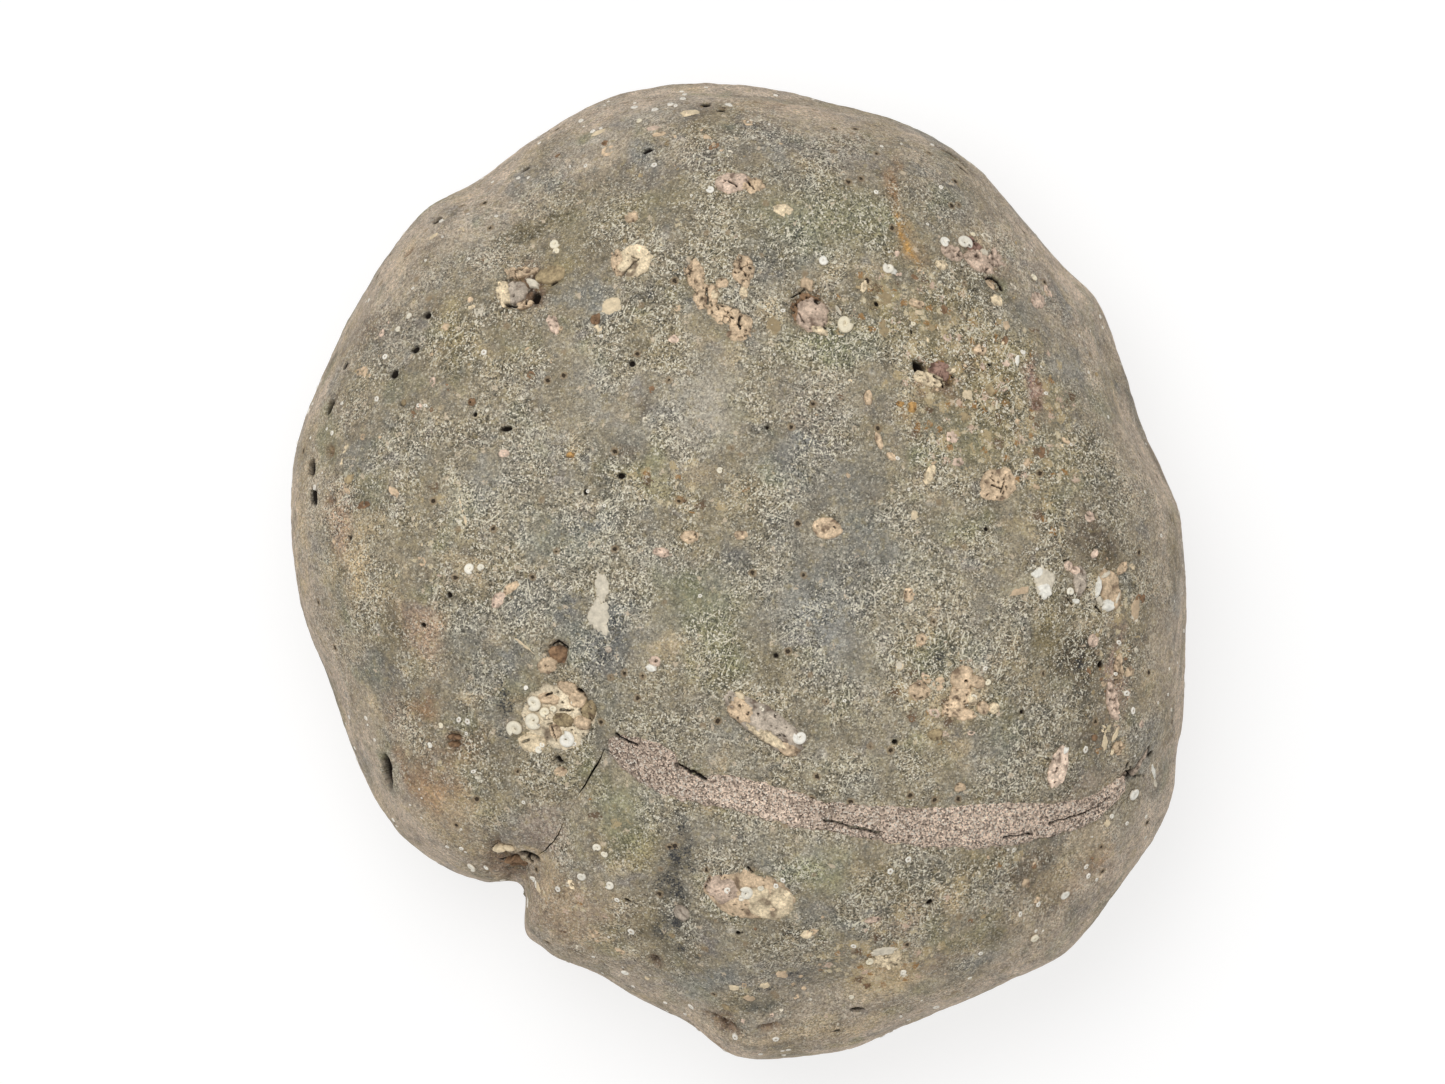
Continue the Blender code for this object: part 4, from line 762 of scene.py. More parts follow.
def stone_skin(main):
    """The unbroken nodule with its fine surface, fine on one stone: points, faces and looks."""
    bm = bmesh.new()
    bmesh.ops.create_icosphere(bm, subdivisions=FIRST_ROUNDS, radius=1)
    rays = np.array([v.co[:] for v in bm.verts])
    faces = np.array([[v.index for v in f.verts] for f in bm.faces])
    bm.free()
    wanted = wanted_edges(main)
    for _ in range(REFINE_ROUNDS):
        rays, faces = split_long(rays, faces, wanted)
    points, normals = bare_form(rays)
    skin = points + normals * broad_relief(points)[:, None]
    rise, hollow, brown = fine_relief(skin)
    where = drifted(skin)
    looks = np.concatenate([tint(skin, where, brown), cover(skin, where, hollow, brown)], axis=1)
    return skin + normals * rise[:, None], faces, looks


def fine_relief(skin):
    """How far the fine surface stands out, how deep in a hole each point is and how deep in
    a rough brown cavity, both 0 to 1."""
    rim = waver(skin, 3.0, 1)
    rise = gentle(skin)
    hollow = slit_share(skin, STONE_SLITS) * (skin[:, 2] > WIDEST_LEVEL)
    rise = rise - 0.9 * SLIT_DEPTH * hollow
    brown = np.zeros(len(skin))
    for x, y, wide, high, turn, depth in HOLES:
        away = spread(skin, seat(x, y, turn), wide, high) * (1 + 0.28 * rim)
        rise = rise - depth * np.exp(-away ** 5)
        hollow = np.maximum(hollow, np.exp(-(away * np.interp(skin[:, 2], (95, 128), (0.86, 0.96))) ** 5))
    rough = waver(skin, 1.5, 5, 3)
    for x, y, wide, high, turn, depth in CAVITIES:
        away = spread(skin, seat(x, y, turn), wide, high) * (1 + 0.3 * rim)
        inside = np.exp(-away ** 4)
        rise = rise - (depth + 0.5 * rough) * inside
        brown = np.maximum(brown, inside)
    for x, y, wide, high, turn, _, lumps, _ in SILT:
        away = spread(skin, seat(x, y, turn), wide * 0.92, high * 0.92) * (1 + 0.2 * rim)
        rise = rise - (0.6 + lumps) * np.exp(-away ** 8)
    return rise, hollow, brown


def linear(colour):
    """A colour in 0 to 255 display values as linear light."""
    c = np.array(colour) / 255
    return np.where(c <= 0.04045, c / 12.92, ((c + 0.055) / 1.055) ** 2.4)


def bell(points, x, y, wide, high, turn, power=2.6, side=1):
    """A soft spot on the skin: 1 in its middle, fading past its half widths."""
    return np.exp(-spread(points, seat(x, y, turn, side), wide, high) ** power)


def drifted(skin):
    """Points moved about, so that what is laid on them gets wandering borders."""
    broad = np.stack([waver(skin, 13.0, s) for s in (11, 12, 13)], axis=1)
    fine = np.stack([waver(skin, 4.0, s) for s in (14, 15, 16)], axis=1)
    return skin + 4.5 * broad + 2.2 * fine


def mix(colour, other, share):
    share = np.asarray(share)[:, None]
    return colour * (1 - share) + linear(COLOURS[other]) * share


# Drifts of colour through the whole stone: size, seed, colour, base share
DRIFTS = (
    (30.0, 21, "cool_grey", -0.4), (24.0, 22, "warm_olive", -0.15), (15.0, 23, "blue", -0.55),
    (13.0, 24, "green", -0.5), (11.0, 25, "ochre", -0.62), (9.0, 26, "dark_brown", -0.75),
    (7.0, 27, "lavender", -0.6), (6.0, 28, "dark_grey", -0.62), (4.5, 29, "pale_grey", -0.6),
)
MOTTLE = 0.17                   # share by which the skin goes lighter and darker, patch by patch
FLANK_SHARE = ((84, 114), (0.95, 0.0))          # over the height
# a darker band round the shoulder, over the height: painted shade where the dome turns down to its flanks
SHOULDER_SHADE_SHARE = ((98, 112, 124, 135), (0.0, 0.65, 0.5, 0.0))
SHOULDER_SHADE_BY_Y = ((-95, -30), (0.15, 1.0))           # the painted shade is weaker towards the broken piece
DRIFT_CONTRAST = 1.7
DRIFT_STRENGTH = 0.7
STAIN_SPREAD = 1.1              # of a stain's size over its listed size
SMOOTH_CALM = 0.8               # the share of the pale marks that smooth spots lose


def tint(skin, where, brown):
    """The stone's colour at points: its ground, its drifts of colour and the stains on it, with painted shade
    in a band round the shoulder and in a few dents.
    """
    colour = np.tile(linear(COLOURS["stone"]), (len(skin), 1))
    level = skin[:, 2] + 4.0 * waver(skin, 18.0, 33)
    near_side = np.interp(skin[:, 1], *SHOULDER_SHADE_BY_Y)
    # painted shade in a band round the shoulder
    colour = mix(colour, "ring", np.interp(level, *SHOULDER_SHADE_SHARE) * near_side)
    colour = mix(colour, "flank", np.interp(level, *FLANK_SHARE))
    for size, seed, name, base in DRIFTS:
        share = np.clip(waver(where, size, seed) * DRIFT_CONTRAST + base, 0, 1)
        colour = mix(colour, name, share * DRIFT_STRENGTH)
    # stains, and painted shade in a few dents
    for x, y, wide, high, turn, name, strength in STAINS_AND_DENT_SHADE:
        spot = bell(where, x, y, wide * STAIN_SPREAD, high * STAIN_SPREAD, turn)
        colour = mix(colour, name, strength * spot)
    for x, y, wide, high, turn, name, strength, side in hidden_stains():
        colour = mix(colour, name, strength * bell(where, x, y, wide, high, turn, 2.6, side))
    light = waver(skin, 12.0, 34) + waver(skin, 6.0, 35) + 0.7 * waver(skin, 3.2, 37)
    colour = colour * (1 + MOTTLE * light)[:, None]
    for ax, ay, bx, by, wide, name, strength in VEINS:
        away = line_distance(skin[:, 0] + waver(skin, 4.0, 38), skin[:, 1], ax, ay, bx, by)
        near = np.exp(-(away / wide) ** 2) * (skin[:, 2] > WIDEST_LEVEL)
        colour = mix(colour, name, np.clip(strength * near * (1 + 0.8 * waver(skin, 1.6, 39)), 0, 1))
    # inside the rough cavities the colour goes near-black brown in patches and brown elsewhere
    cavity_mottle = waver(skin, 1.8, 36, 3)
    colour = mix(colour, "cavity_dark", brown * np.clip(0.55 - 0.7 * cavity_mottle, 0, 1) * 0.9)
    return mix(colour, "cavity", brown * np.clip(0.35 + 0.6 * cavity_mottle, 0, 0.8))


def cover(skin, where, hollow, brown):
    """Soot, blots, the painted shade of holes and slits, and pale marks, as four shares at points."""
    soot = np.zeros(len(skin))
    for x, y, wide, high, turn, strength in SOOT:
        soot = np.maximum(soot, strength * bell(where, x, y, wide, high, turn, 2))
    for x, y, wide, high, turn in STREAKS:
        soot = np.maximum(soot, 1.1 * bell(skin, x, y, wide * 1.2, high * 1.1, turn, 2.4))
    blots = 0.12 + 0.1 * waver(skin, 20.0, 31)
    for x, y, wide, high, turn, strength in BLOTTED:
        blots = np.maximum(blots, strength * bell(where, x, y, wide, high, turn, 3))
    marks = 0.45 + 1.1 * waver(skin, 14.0, 32)
    marks = np.clip(marks, 0.08, 1) * np.interp(skin[:, 2], (88, 122), (0.2, 1.0))
    for x, y, wide, high, turn in SMOOTH:
        marks = marks * (1 - SMOOTH_CALM * bell(where, x, y, wide, high, turn))
    marks = marks * (1 - brown)
    return np.clip(np.stack([soot / 1.3, blots, hollow, marks], axis=1), 0, 1)


def slab_faces(columns, rows):
    """The faces of a closed slab between two grids of points, all of the front one first."""
    faces = []
    count = columns * rows
    for i in range(columns - 1):
        for j in range(rows - 1):
            k = i * rows + j
            quad = (k, k + rows, k + rows + 1, k + 1)
            faces += [quad, tuple(count + n for n in reversed(quad))]
        low, high = i * rows, i * rows + rows - 1
        faces += [(low, count + low, count + low + rows, low + rows),
                  (high + rows, count + high + rows, count + high, high)]
    last = count - rows
    for j in range(rows - 1):
        faces += [(j + 1, count + j + 1, count + j, j),
                  (last + j, count + last + j, count + last + j + 1, last + j + 1)]
    return faces


def dome_faces(rings, around):
    """The faces between rings of points, and from the inmost ring to the one point after it."""
    faces = []
    tip = rings * around
    for j in range(around):
        k = (j + 1) % around
        faces += [(i + j, i + k, i + around + k, i + around + j) for i in range(0, tip - around, around)]
        faces.append((tip - around + j, tip - around + k, tip))
    return faces


def mesh_from(name, points, faces, colours=None):
    """A mesh from points in millimetres, with a colour at each point if they are given."""
    mesh = bpy.data.meshes.new(name)
    mesh.from_pydata((np.asarray(points) * MM).tolist(), [], [list(f) for f in faces])
    if colours is not None:
        store(mesh, "tint", colours)
    return mesh


def store(mesh, name, values):
    """Keeps three or four values for each point of a mesh under a name."""
    if values.shape[1] == 3:
        values = np.column_stack([values, np.ones(len(values))])
    layer = mesh.attributes.new(name, "FLOAT_COLOR", "POINT")
    layer.data.foreach_set("color", values.ravel())


HIDDEN_SEED = 12
HIDDEN_COUNT = 70
HIDDEN_REACH = (127, 134)       # the nodule's half width and half length
HIDDEN_SIZE = (3, 12)
HIDDEN_COLOURS = ("ochre", "rust_pink", "blue", "green", "dark_brown", "navy", "olive", "rust",
                  "cool_grey", "dark_grey", "lavender", "cream")


def hidden_stains():
    """Stains of the same kinds over the sides and the underside."""
    rng = np.random.default_rng(HIDDEN_SEED)
    stains = []
    for n in range(HIDDEN_COUNT):
        side = 1 if n % 4 == 0 else -1
        angle, out = rng.uniform(0, 2 * math.pi), math.sqrt(rng.uniform(0.93 if side > 0 else 0.05, 0.97))
        x = CENTRE[0] + HIDDEN_REACH[0] * out * math.cos(angle)
        y = CENTRE[1] + HIDDEN_REACH[1] * out * math.sin(angle)
        wide, high = rng.uniform(*HIDDEN_SIZE, 2)
        name = HIDDEN_COLOURS[n % len(HIDDEN_COLOURS)]
        stains.append((x, y, wide, high, rng.uniform(0, 180), name, rng.uniform(0.3, 0.8), side))
    return stains


BREAK_STEP = 1.3                # between the columns of the break's face where it shows
BREAK_SPAN = (-66, 128)         # x where it shows
BREAK_FAR = 240.0               # y of the cutting block's far side
BREAK_ROUGH = (0.85, 4.0)       # height and size of its roughness
CRACK_GAPS = (                  # x and the width of the open crack there
    (-160, 0.1), (-57, 0.08), (-53.5, 0.3), (-50.5, 0.34), (-49, 0.06), (-45.5, 0.04), (-44, 0.3),
    (-43.5, 0.4), (-41, 0.55), (-39.5, 0.55), (-38, 0.25), (-20, 0.25), (70, 0.1), (84, 0.0), (160, 0.0),
)


def break_block(name, far, open_crack):
    """All the space on one side of the break, with the face that the break left."""
    ends = [x for x, _ in BREAK_LINE]
    columns = np.unique(np.concatenate([ends, np.arange(*BREAK_SPAN, BREAK_STEP)]))
    levels = np.concatenate([np.arange(-30, 80, 6.0), np.arange(80, 181, 3.0)])
    x, z = np.meshgrid(columns, levels, indexing="ij")
    y = break_y(x, z)
    high, size = BREAK_ROUGH
    y = y + high * waver(np.stack([x, y, z * 0.5], axis=-1), size, 21, 3)
    if open_crack:
        gap = np.interp(columns, *np.array(CRACK_GAPS).T)[:, None]
        x, y = x + 0.7 * gap, y - gap
    front = np.stack([x, y, z], axis=-1).reshape(-1, 3)
    back = front.copy()
    back[:, 1] = far
    faces = slab_faces(len(columns), len(levels))
    mesh = mesh_from(name, np.concatenate([front, back]), faces)
    bm = bmesh.new()
    bm.from_mesh(mesh)
    bmesh.ops.triangulate(bm, faces=bm.faces[:])
    bmesh.ops.recalc_face_normals(bm, faces=bm.faces[:])
    bm.to_mesh(mesh)
    bm.free()
    return mesh


def rest_flat(mesh):
    """Cuts a mesh off flat where it rests on the table."""
    bm = bmesh.new()
    bm.from_mesh(mesh)
    everything = bm.verts[:] + bm.edges[:] + bm.faces[:]
    cut = bmesh.ops.bisect_plane(bm, geom=everything, plane_co=(0, 0, 0), plane_no=(0, 0, -1),
                                 clear_outer=True, dist=1e-7)
    rim = [e for e in cut["geom_cut"] if isinstance(e, bmesh.types.BMEdge)]
    bmesh.ops.contextual_create(bm, geom=rim)
    bmesh.ops.triangulate(bm, faces=[f for f in bm.faces if len(f.verts) > 4])
    bm.to_mesh(mesh)
    bm.free()


def piece(name, mesh, node=None):
    """Puts a piece in the scene, riding on the one body, for the node that it stands for."""
    made = bpy.data.objects.new(name, mesh)
    bpy.context.scene.collection.objects.link(made)
    mesh.shade_smooth()
    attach(made, "root")
    if node:
        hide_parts(node)
    return made


def stone(name, main):
    """One of the two stones: the fine skin cut off at the break."""
    points, faces, looks = stone_skin(main)
    mesh = mesh_from(name, points, faces)
    rest_flat(mesh)
    blank = bpy.data.objects.new("blank", mesh)
    far = -BREAK_FAR if main else BREAK_FAR
    tool = bpy.data.objects.new("tool", break_block("tool", far, not main))
    for helper in (blank, tool):
        bpy.context.scene.collection.objects.link(helper)
    cut = blank.modifiers.new("break", "BOOLEAN")
    cut.operation = "DIFFERENCE"
    cut.object = tool
    shape = bpy.data.meshes.new_from_object(blank.evaluated_get(bpy.context.evaluated_depsgraph_get()))
    for helper in (blank, tool):
        bpy.data.objects.remove(helper)
    shape.name = name
    looks = nearest(points, looks, shape)
    store(shape, "tint", looks[:, :3])
    store(shape, "cover", looks[:, 3:])
    return piece(name, shape, "main_stone" if main else "broken_off_piece")


def nearest(points, values, mesh):
    """For each point of a mesh, the value kept at the nearest of some points."""
    tree = kdtree.KDTree(len(points))
    for n, p in enumerate(points):
        tree.insert(Vector(p) * MM, n)
    tree.balance()
    return values[[tree.find(v.co)[1] for v in mesh.vertices]]


# ---------------------------------------------------------------- silt, crusts and mortar

PATCH_DEPTH = 3.0               # how deep a patch goes into the stone
PATCH_FOOT = 3.2                # and in its middle
PATCH_RINGS = 5                 # at least
PATCH_AROUND = 18
EDGE_LUMPS = 0.62               # size of the lumps in a patch's edge, as a share of its radius


def patch(x, y, wide, high, turn, surface, step, ragged):
    """A closed patch lying on the stone. surface gives its rise and its colour over points on
    the skin, from how far out they are, 0 to 1. Returns points, faces and colours."""
    middle, along, across, _ = seat(x, y, turn)
    size = max(wide, high)
    rings = max(PATCH_RINGS, int(size / step))
    around = max(PATCH_AROUND, int(2 * math.pi * size / step))
    angle = np.linspace(0, 2 * math.pi, around, endpoint=False)
    edge = np.stack([np.cos(angle), np.sin(angle), np.full(around, (x * 3.7 + y) % 50)], axis=1)
    stretch = 1 + ragged * waver(edge, EDGE_LUMPS, 31, 4)
    out = np.linspace(1, 0, rings, endpoint=False)[:, None]
    reach = out * stretch
    flat = (middle + (reach * np.cos(angle) * wide)[..., None] * along
            + (reach * np.sin(angle) * high)[..., None] * across)
    flat = np.concatenate([flat.reshape(-1, 3), middle[None]])
    skin, normals = skin_under(flat)
    rise, colours = surface(skin, np.append((out * np.ones(around)).ravel(), 0.0))
    top = skin + normals * rise[:, None]
    under = skin[:around] - normals[:around] * PATCH_DEPTH
    foot = skin[-1:] - normals[-1:] * PATCH_FOOT
    points = np.concatenate([top, under, foot])
    faces = dome_faces(rings, around)
    base = rings * around + 1
    for j in range(around):
        k = (j + 1) % around
        faces += [(base + j, base + k, k, j), (base + k, base + j, base + around)]
    return points, faces, np.concatenate([colours, colours[:around], colours[-1:]])


def joined(name, bodies):
    """One mesh from several sets of points, faces and, if they have them, colours."""
    points, faces, colours, start = [], [], [], 0
    for body in bodies:
        points.append(body[0])
        faces += [tuple(start + n for n in face) for face in body[1]]
        colours += body[2:]
        start += len(body[0])
    return mesh_from(name, np.concatenate(points), faces, np.concatenate(colours) if colours else None)


def cells(points, size, seed):
    """How far points are from the nearest borders between cells of the given size, 0 to 1."""
    values = [noise.voronoi(Vector(p), distance_metric="DISTANCE")[0][:2]
              for p in np.asarray(points) / size + seed * 5.17]
    near = np.array(values)
    return near[:, 1] - near[:, 0]


# painted shade in the silt's lows and along its rim
SILT_SHADE = (92, 70, 56)
# painted shade, near black, in the silt's cracks, pits, slits and pores
SILT_HOLE_SHADE = (34, 26, 22)
CRACKED_FROM = 0.45             # silt at least this lumpy has cracks of its own
PITTED_FROM = 0.28


def toned(tone, share):
    """A tone in linear light, made darker or lighter by a share at each point."""
    return linear(TONES[tone]) * (share ** 2.2)[:, None]


def silt_surface(x, y, rise, lumps, tone, size):
    """The rise and colours of silt: gentle lumps, with slits, cracks and pits in it. Its colour carries
    painted light and shade: lighter on the lumps, darker in the lows and towards the edge, a painted shadow
    along a broken rim, and near-black painted shade in the slits, cracks and pits.
    """
    rng = np.random.default_rng(int(abs(x * 31 + y * 17)))
    shade = 1 + rng.uniform(-0.05, 0.05)

    def surface(skin, out):
        lump = waver(skin, 0.5 * size + 0.8, 41, 3)
        grit = waver(skin, 0.8, 42)
        deep = np.zeros(len(skin))
        if lumps >= CRACKED_FROM:
            warped = skin + 0.5 * waver(skin, 2.0, 40)[:, None]
            border = cells(warped, 0.42 * size + 0.9, 43)
            opened = np.clip(waver(skin, 2.6, 45) * 2.2 + 0.25, 0, 1)
            deep = opened * np.clip(1.4 - border / 0.08, 0, 1)
        if lumps >= PITTED_FROM:
            deep = np.maximum(deep, np.clip((waver(skin, 1.5, 46) - 0.5) / 0.12, 0, 1) * (out < 0.9))
        slit = slit_share(skin, SLITS)
        height = rise + lumps * lump + 0.12 * grit - 0.8 * deep - SLIT_DEPTH * slit
        height = height - (0.35 + max(rise, 0)) * out ** 8
        # painted light and shade: lighter on the lumps, darker towards the edge
        share = shade + 0.2 * lump + 0.14 * grit + 0.05 * waver(skin, 3.5, 47) - 0.05 * out ** 4
        colour = toned(tone, np.clip(share, 0.62, 1.2))
        # a painted shadow along a broken rim, and painted shade in the lows
        rim = np.clip((out - 0.8) * 4, 0, 1) * np.clip(0.2 + 1.6 * waver(skin, 2.2, 48), 0, 1)
        painted_shade = np.maximum(np.clip(-1.8 * lump - 0.55, 0, 0.6), 0.55 * rim)[:, None]
        colour = colour * (1 - painted_shade) + linear(SILT_SHADE) * painted_shade
        # painted shade, near black, in the cracks, pits and slits
        dark = np.clip(np.maximum(deep * 0.9, slit * 1.5), 0, 1)[:, None] * 0.96
        return height, colour * (1 - dark) + linear(SILT_HOLE_SHADE) * dark
    return surface


def crust_surface(rise, tone):
    """The rise and colours of a thin crust with a crisp edge."""
    def surface(skin, out):
        cloud = waver(skin, 1.6, 44, 3)
        height = rise + 0.14 * cloud - (rise + 0.3) * out ** 10
        return height, toned(tone, np.clip(0.97 + 0.1 * cloud, 0.8, 1.1))
    return surface


SILT_STEP = 0.42                # between the points of a patch
SLIT_STEP = 0.29                # and where slits cross it
SLIT_RINGS = 28                 # at most, there
SILT_OVERLAP = 1.04             # of its size over its hollow's


def silt_plugs():
    """Pale silt set hard in the borings and hollows."""
    bodies = []
    for x, y, wide, high, turn, rise, lumps, tone in SILT:
        size, reach = min(wide, high), max(wide, high)
        cut = any(math.hypot((ax + bx) / 2 - x, (ay + by) / 2 - y) < reach for ax, ay, bx, by, _ in SLITS)
        step = max(SLIT_STEP, reach / SLIT_RINGS) if cut else SILT_STEP
        surface = silt_surface(x, y, rise, lumps, tone, size)
        wide, high = wide * SILT_OVERLAP, high * SILT_OVERLAP
        bodies.append(patch(x, y, wide, high, turn, surface, step, 0.05 + 0.42 * lumps))
    return piece("silt_plugs", joined("silt_plugs", bodies))


SCRAP_SEED = 41
SCRAP_STEP = 0.32
SCRAP_RAGGED = 0.3
SCRAP_LIMIT = 0.95              # how far out towards the outline scraps may lie
SCRAP_BIAS = 1.9                # how strongly their sizes lean to the smaller
CRUST_STEP = 0.3
CRUST_RAGGED = 0.34
SCRAP_SIZE = (0.55, 2.3)        # half width
SCRAP_TONES = ("tan", "tan", "pink", "cream", "olive", "brown", "peach", "chalk")
# Where small scraps of silt are strewn: x, y, half width, half height, how many
STREWN = (
    (-92, 78, 24, 34, 46), (-22, 122, 40, 12, 30), (76, 52, 28, 32, 50), (60, 84, 26, 18, 18),
    (107, -28, 9, 34, 26), (16, -112, 52, 16, 30), (-98, 10, 18, 40, 22), (84, -88, 24, 20, 18),
    (0, 60, 60, 40, 24), (56, -36, 24, 18, 14), (-45, -94, 18, 14, 12),
)


def pored(surface, reach):
    """A surface with a pore in its middle, sunk and painted dark as shade."""
    def sunk(skin, out):
        height, colour = surface(skin, out)
        pore = np.exp(-(out / reach) ** 4)
        dark = 0.92 * pore[:, None]
        return height - 0.5 * pore, colour * (1 - dark) + linear(SILT_HOLE_SHADE) * dark
    return sunk


def scraps():
    """Small scraps of silt in many tones, strewn where the stone has many."""
    rng = np.random.default_rng(SCRAP_SEED)
    small, large = SCRAP_SIZE
    bodies = []
    for x, y, wide, high, count in STREWN:
        for _ in range(count):
            angle, share = rng.uniform(0, 2 * math.pi), math.sqrt(rng.random())
            spot = np.array([x + wide * share * math.cos(angle), y + high * share * math.sin(angle)])
            size = small + (large - small) * rng.random() ** SCRAP_BIAS
            shape, turn, rise = rng.uniform(0.45, 1.0), rng.uniform(0, 180), rng.uniform(0.06, 0.3)
            tone, lumps, pore = rng.choice(SCRAP_TONES), rng.uniform(0.2, 0.5), rng.uniform(-0.4, 0.55)
            off = spot - CENTRE
            edge = outline_radius(np.array([math.atan2(off[1], off[0])]))[0]
            if np.hypot(*off) > SCRAP_LIMIT * edge or in_silt(*spot):
                continue
            surface = silt_surface(*spot, rise, lumps, tone, size * shape)
            if pore > 0.2:
                surface = pored(surface, pore)
            bodies.append(patch(*spot, size, size * shape, turn, surface, SCRAP_STEP, SCRAP_RAGGED))
    return bodies


def pale_crusts():
    """Thin cream crusts and scraps of shell and silt on the skin."""
    bodies = [patch(x, y, wide, high, turn, crust_surface(rise, tone), CRUST_STEP, CRUST_RAGGED)
              for x, y, wide, high, turn, rise, tone in CRUSTS]
    bodies += scraps()
    return piece("pale_crusts", joined("pale_crusts", bodies))


FILLER_COLUMNS = 560
FILLER_ROWS = 44
FILLER_DEPTH = 4.0
# cracks in the mortar, sunk and painted near black as shade
FILLER_CRACKS = (               # x, y, x, y, half width, depth
    (-34.4, -46.2, -31.4, -47.4, 0.34, 1.2), (-31.4, -47.4, -28.2, -49, 0.3, 1.2),
    (-17.3, -54.2, -13.5, -56, 0.32, 1.6), (-13.5, -56, -8.8, -58.4, 0.4, 1.8),
    (24.5, -69.6, 32, -71.4, 0.3, 1.3), (32, -71.4, 39.8, -73.2, 0.34, 1.4),
    (90, -72.5, 98, -70.5, 0.24, 1.0), (98, -70.5, 103, -68, 0.24, 1.0),
    (103, -68, 107, -65, 0.22, 0.9), (76, -76, 85, -75.4, 0.2, 0.8), (85, -78, 92, -76.5, 0.22, 0.8),
)


def filler():
    """The strip of mortar, its ragged edges smeared over the stone on both sides."""
    strip = np.array(FILLER_STRIP)
    x = np.linspace(strip[0, 0], strip[-1, 0], FILLER_COLUMNS)
    upper = np.interp(x, strip[:, 0], strip[:, 1])
    lower = np.interp(x, strip[:, 0], strip[:, 2])
    zero = np.zeros_like(x)
    upper = upper + 0.75 * waver(np.stack([x, zero, zero], axis=1), 3.0, 51, 4) + 0.35
    lower = lower + 0.75 * waver(np.stack([x, zero, zero], axis=1), 3.4, 52, 4) - 0.35
    t = np.linspace(0, 1, FILLER_ROWS)
    gx = np.repeat(x[:, None], FILLER_ROWS, axis=1)
    gy = lower[:, None] + (upper - lower)[:, None] * t
    plain, normals = over(gx, gy)
    skin = plain + normals * broad_relief(plain)[..., None]
    skin = skin + normals * gentle(skin)[..., None]
    edge = np.abs(2 * t - 1)
    rise = 0.5 + 0.22 * waver(skin, 4.0, 53) + 0.22 * waver(skin, 1.1, 54, 3) - 1.4 * edge ** 10
    rise = rise + BREAK_VALLEY[1] * np.exp(-((gy - break_y(gx, plain[..., 2])) / 6) ** 2) * 0.6
    opened = np.zeros_like(gx)
    wobble = 0.35 * waver(skin, 2.4, 55)
    for ax, ay, bx, by, wide, deep in FILLER_CRACKS:
        inside = np.exp(-(line_distance(gx, gy + wobble, ax, ay, bx, by) / wide) ** 4)
        rise = rise - deep * inside
        opened = np.maximum(opened, inside)
    top = skin + normals * rise[..., None]
    deep = 1.2 + FILLER_DEPTH * (1 - edge ** 2)
    under = skin - normals * deep[None, :, None]
    points = np.concatenate([top.reshape(-1, 3), under.reshape(-1, 3)])
    # painted shade, near black, in the mortar's cracks
    light = 1 - 0.97 * np.clip(1.6 * opened, 0, 1).ravel()
    light = np.repeat(np.append(light, light)[:, None], 3, axis=1)
    mesh = mesh_from("mortar_strip", points, slab_faces(FILLER_COLUMNS, FILLER_ROWS), light)
    return piece("mortar_strip", mesh, "joint_filler")


# ---------------------------------------------------------------- barnacles and worm tubes

COIL_SEED = 600
COIL_PATH = (0.14, 0.52)        # the coil's radius at its start and by how much it grows
COIL_TUBE = (0.16, 0.2)         # and the tube's, as shares of the whole radius
COIL_TURNS = 1.75
COIL_STEPS = 44
COIL_SIDES = 10
COIL_RISE = 0.12                # by which the mouth stands above the start
COIL_PALENESS = (0.9, 1.04)
CREST = (253, 249, 238)
CREST_WARM = (246, 234, 204)
# painted shade on the lower sides of the tubes, in the grooves between their turns, and at the barnacles'
# sunk edges and dimples
GROOVE_SHADE = (186, 166, 138)
# painted shade inside the mouths of tubes and barnacles
ORIFICE_SHADE = (74, 58, 48)


def band(first, second, hand):
    """The faces between two rings of a coil's points, facing out whichever way it turns."""
    faces = []
    for s in range(COIL_SIDES):
        a, b = first + s, first + (s + 1) % COIL_SIDES
        quad = (a, b, b + second - first, a + second - first)
        faces.append(quad if hand > 0 else quad[::-1])
    return faces


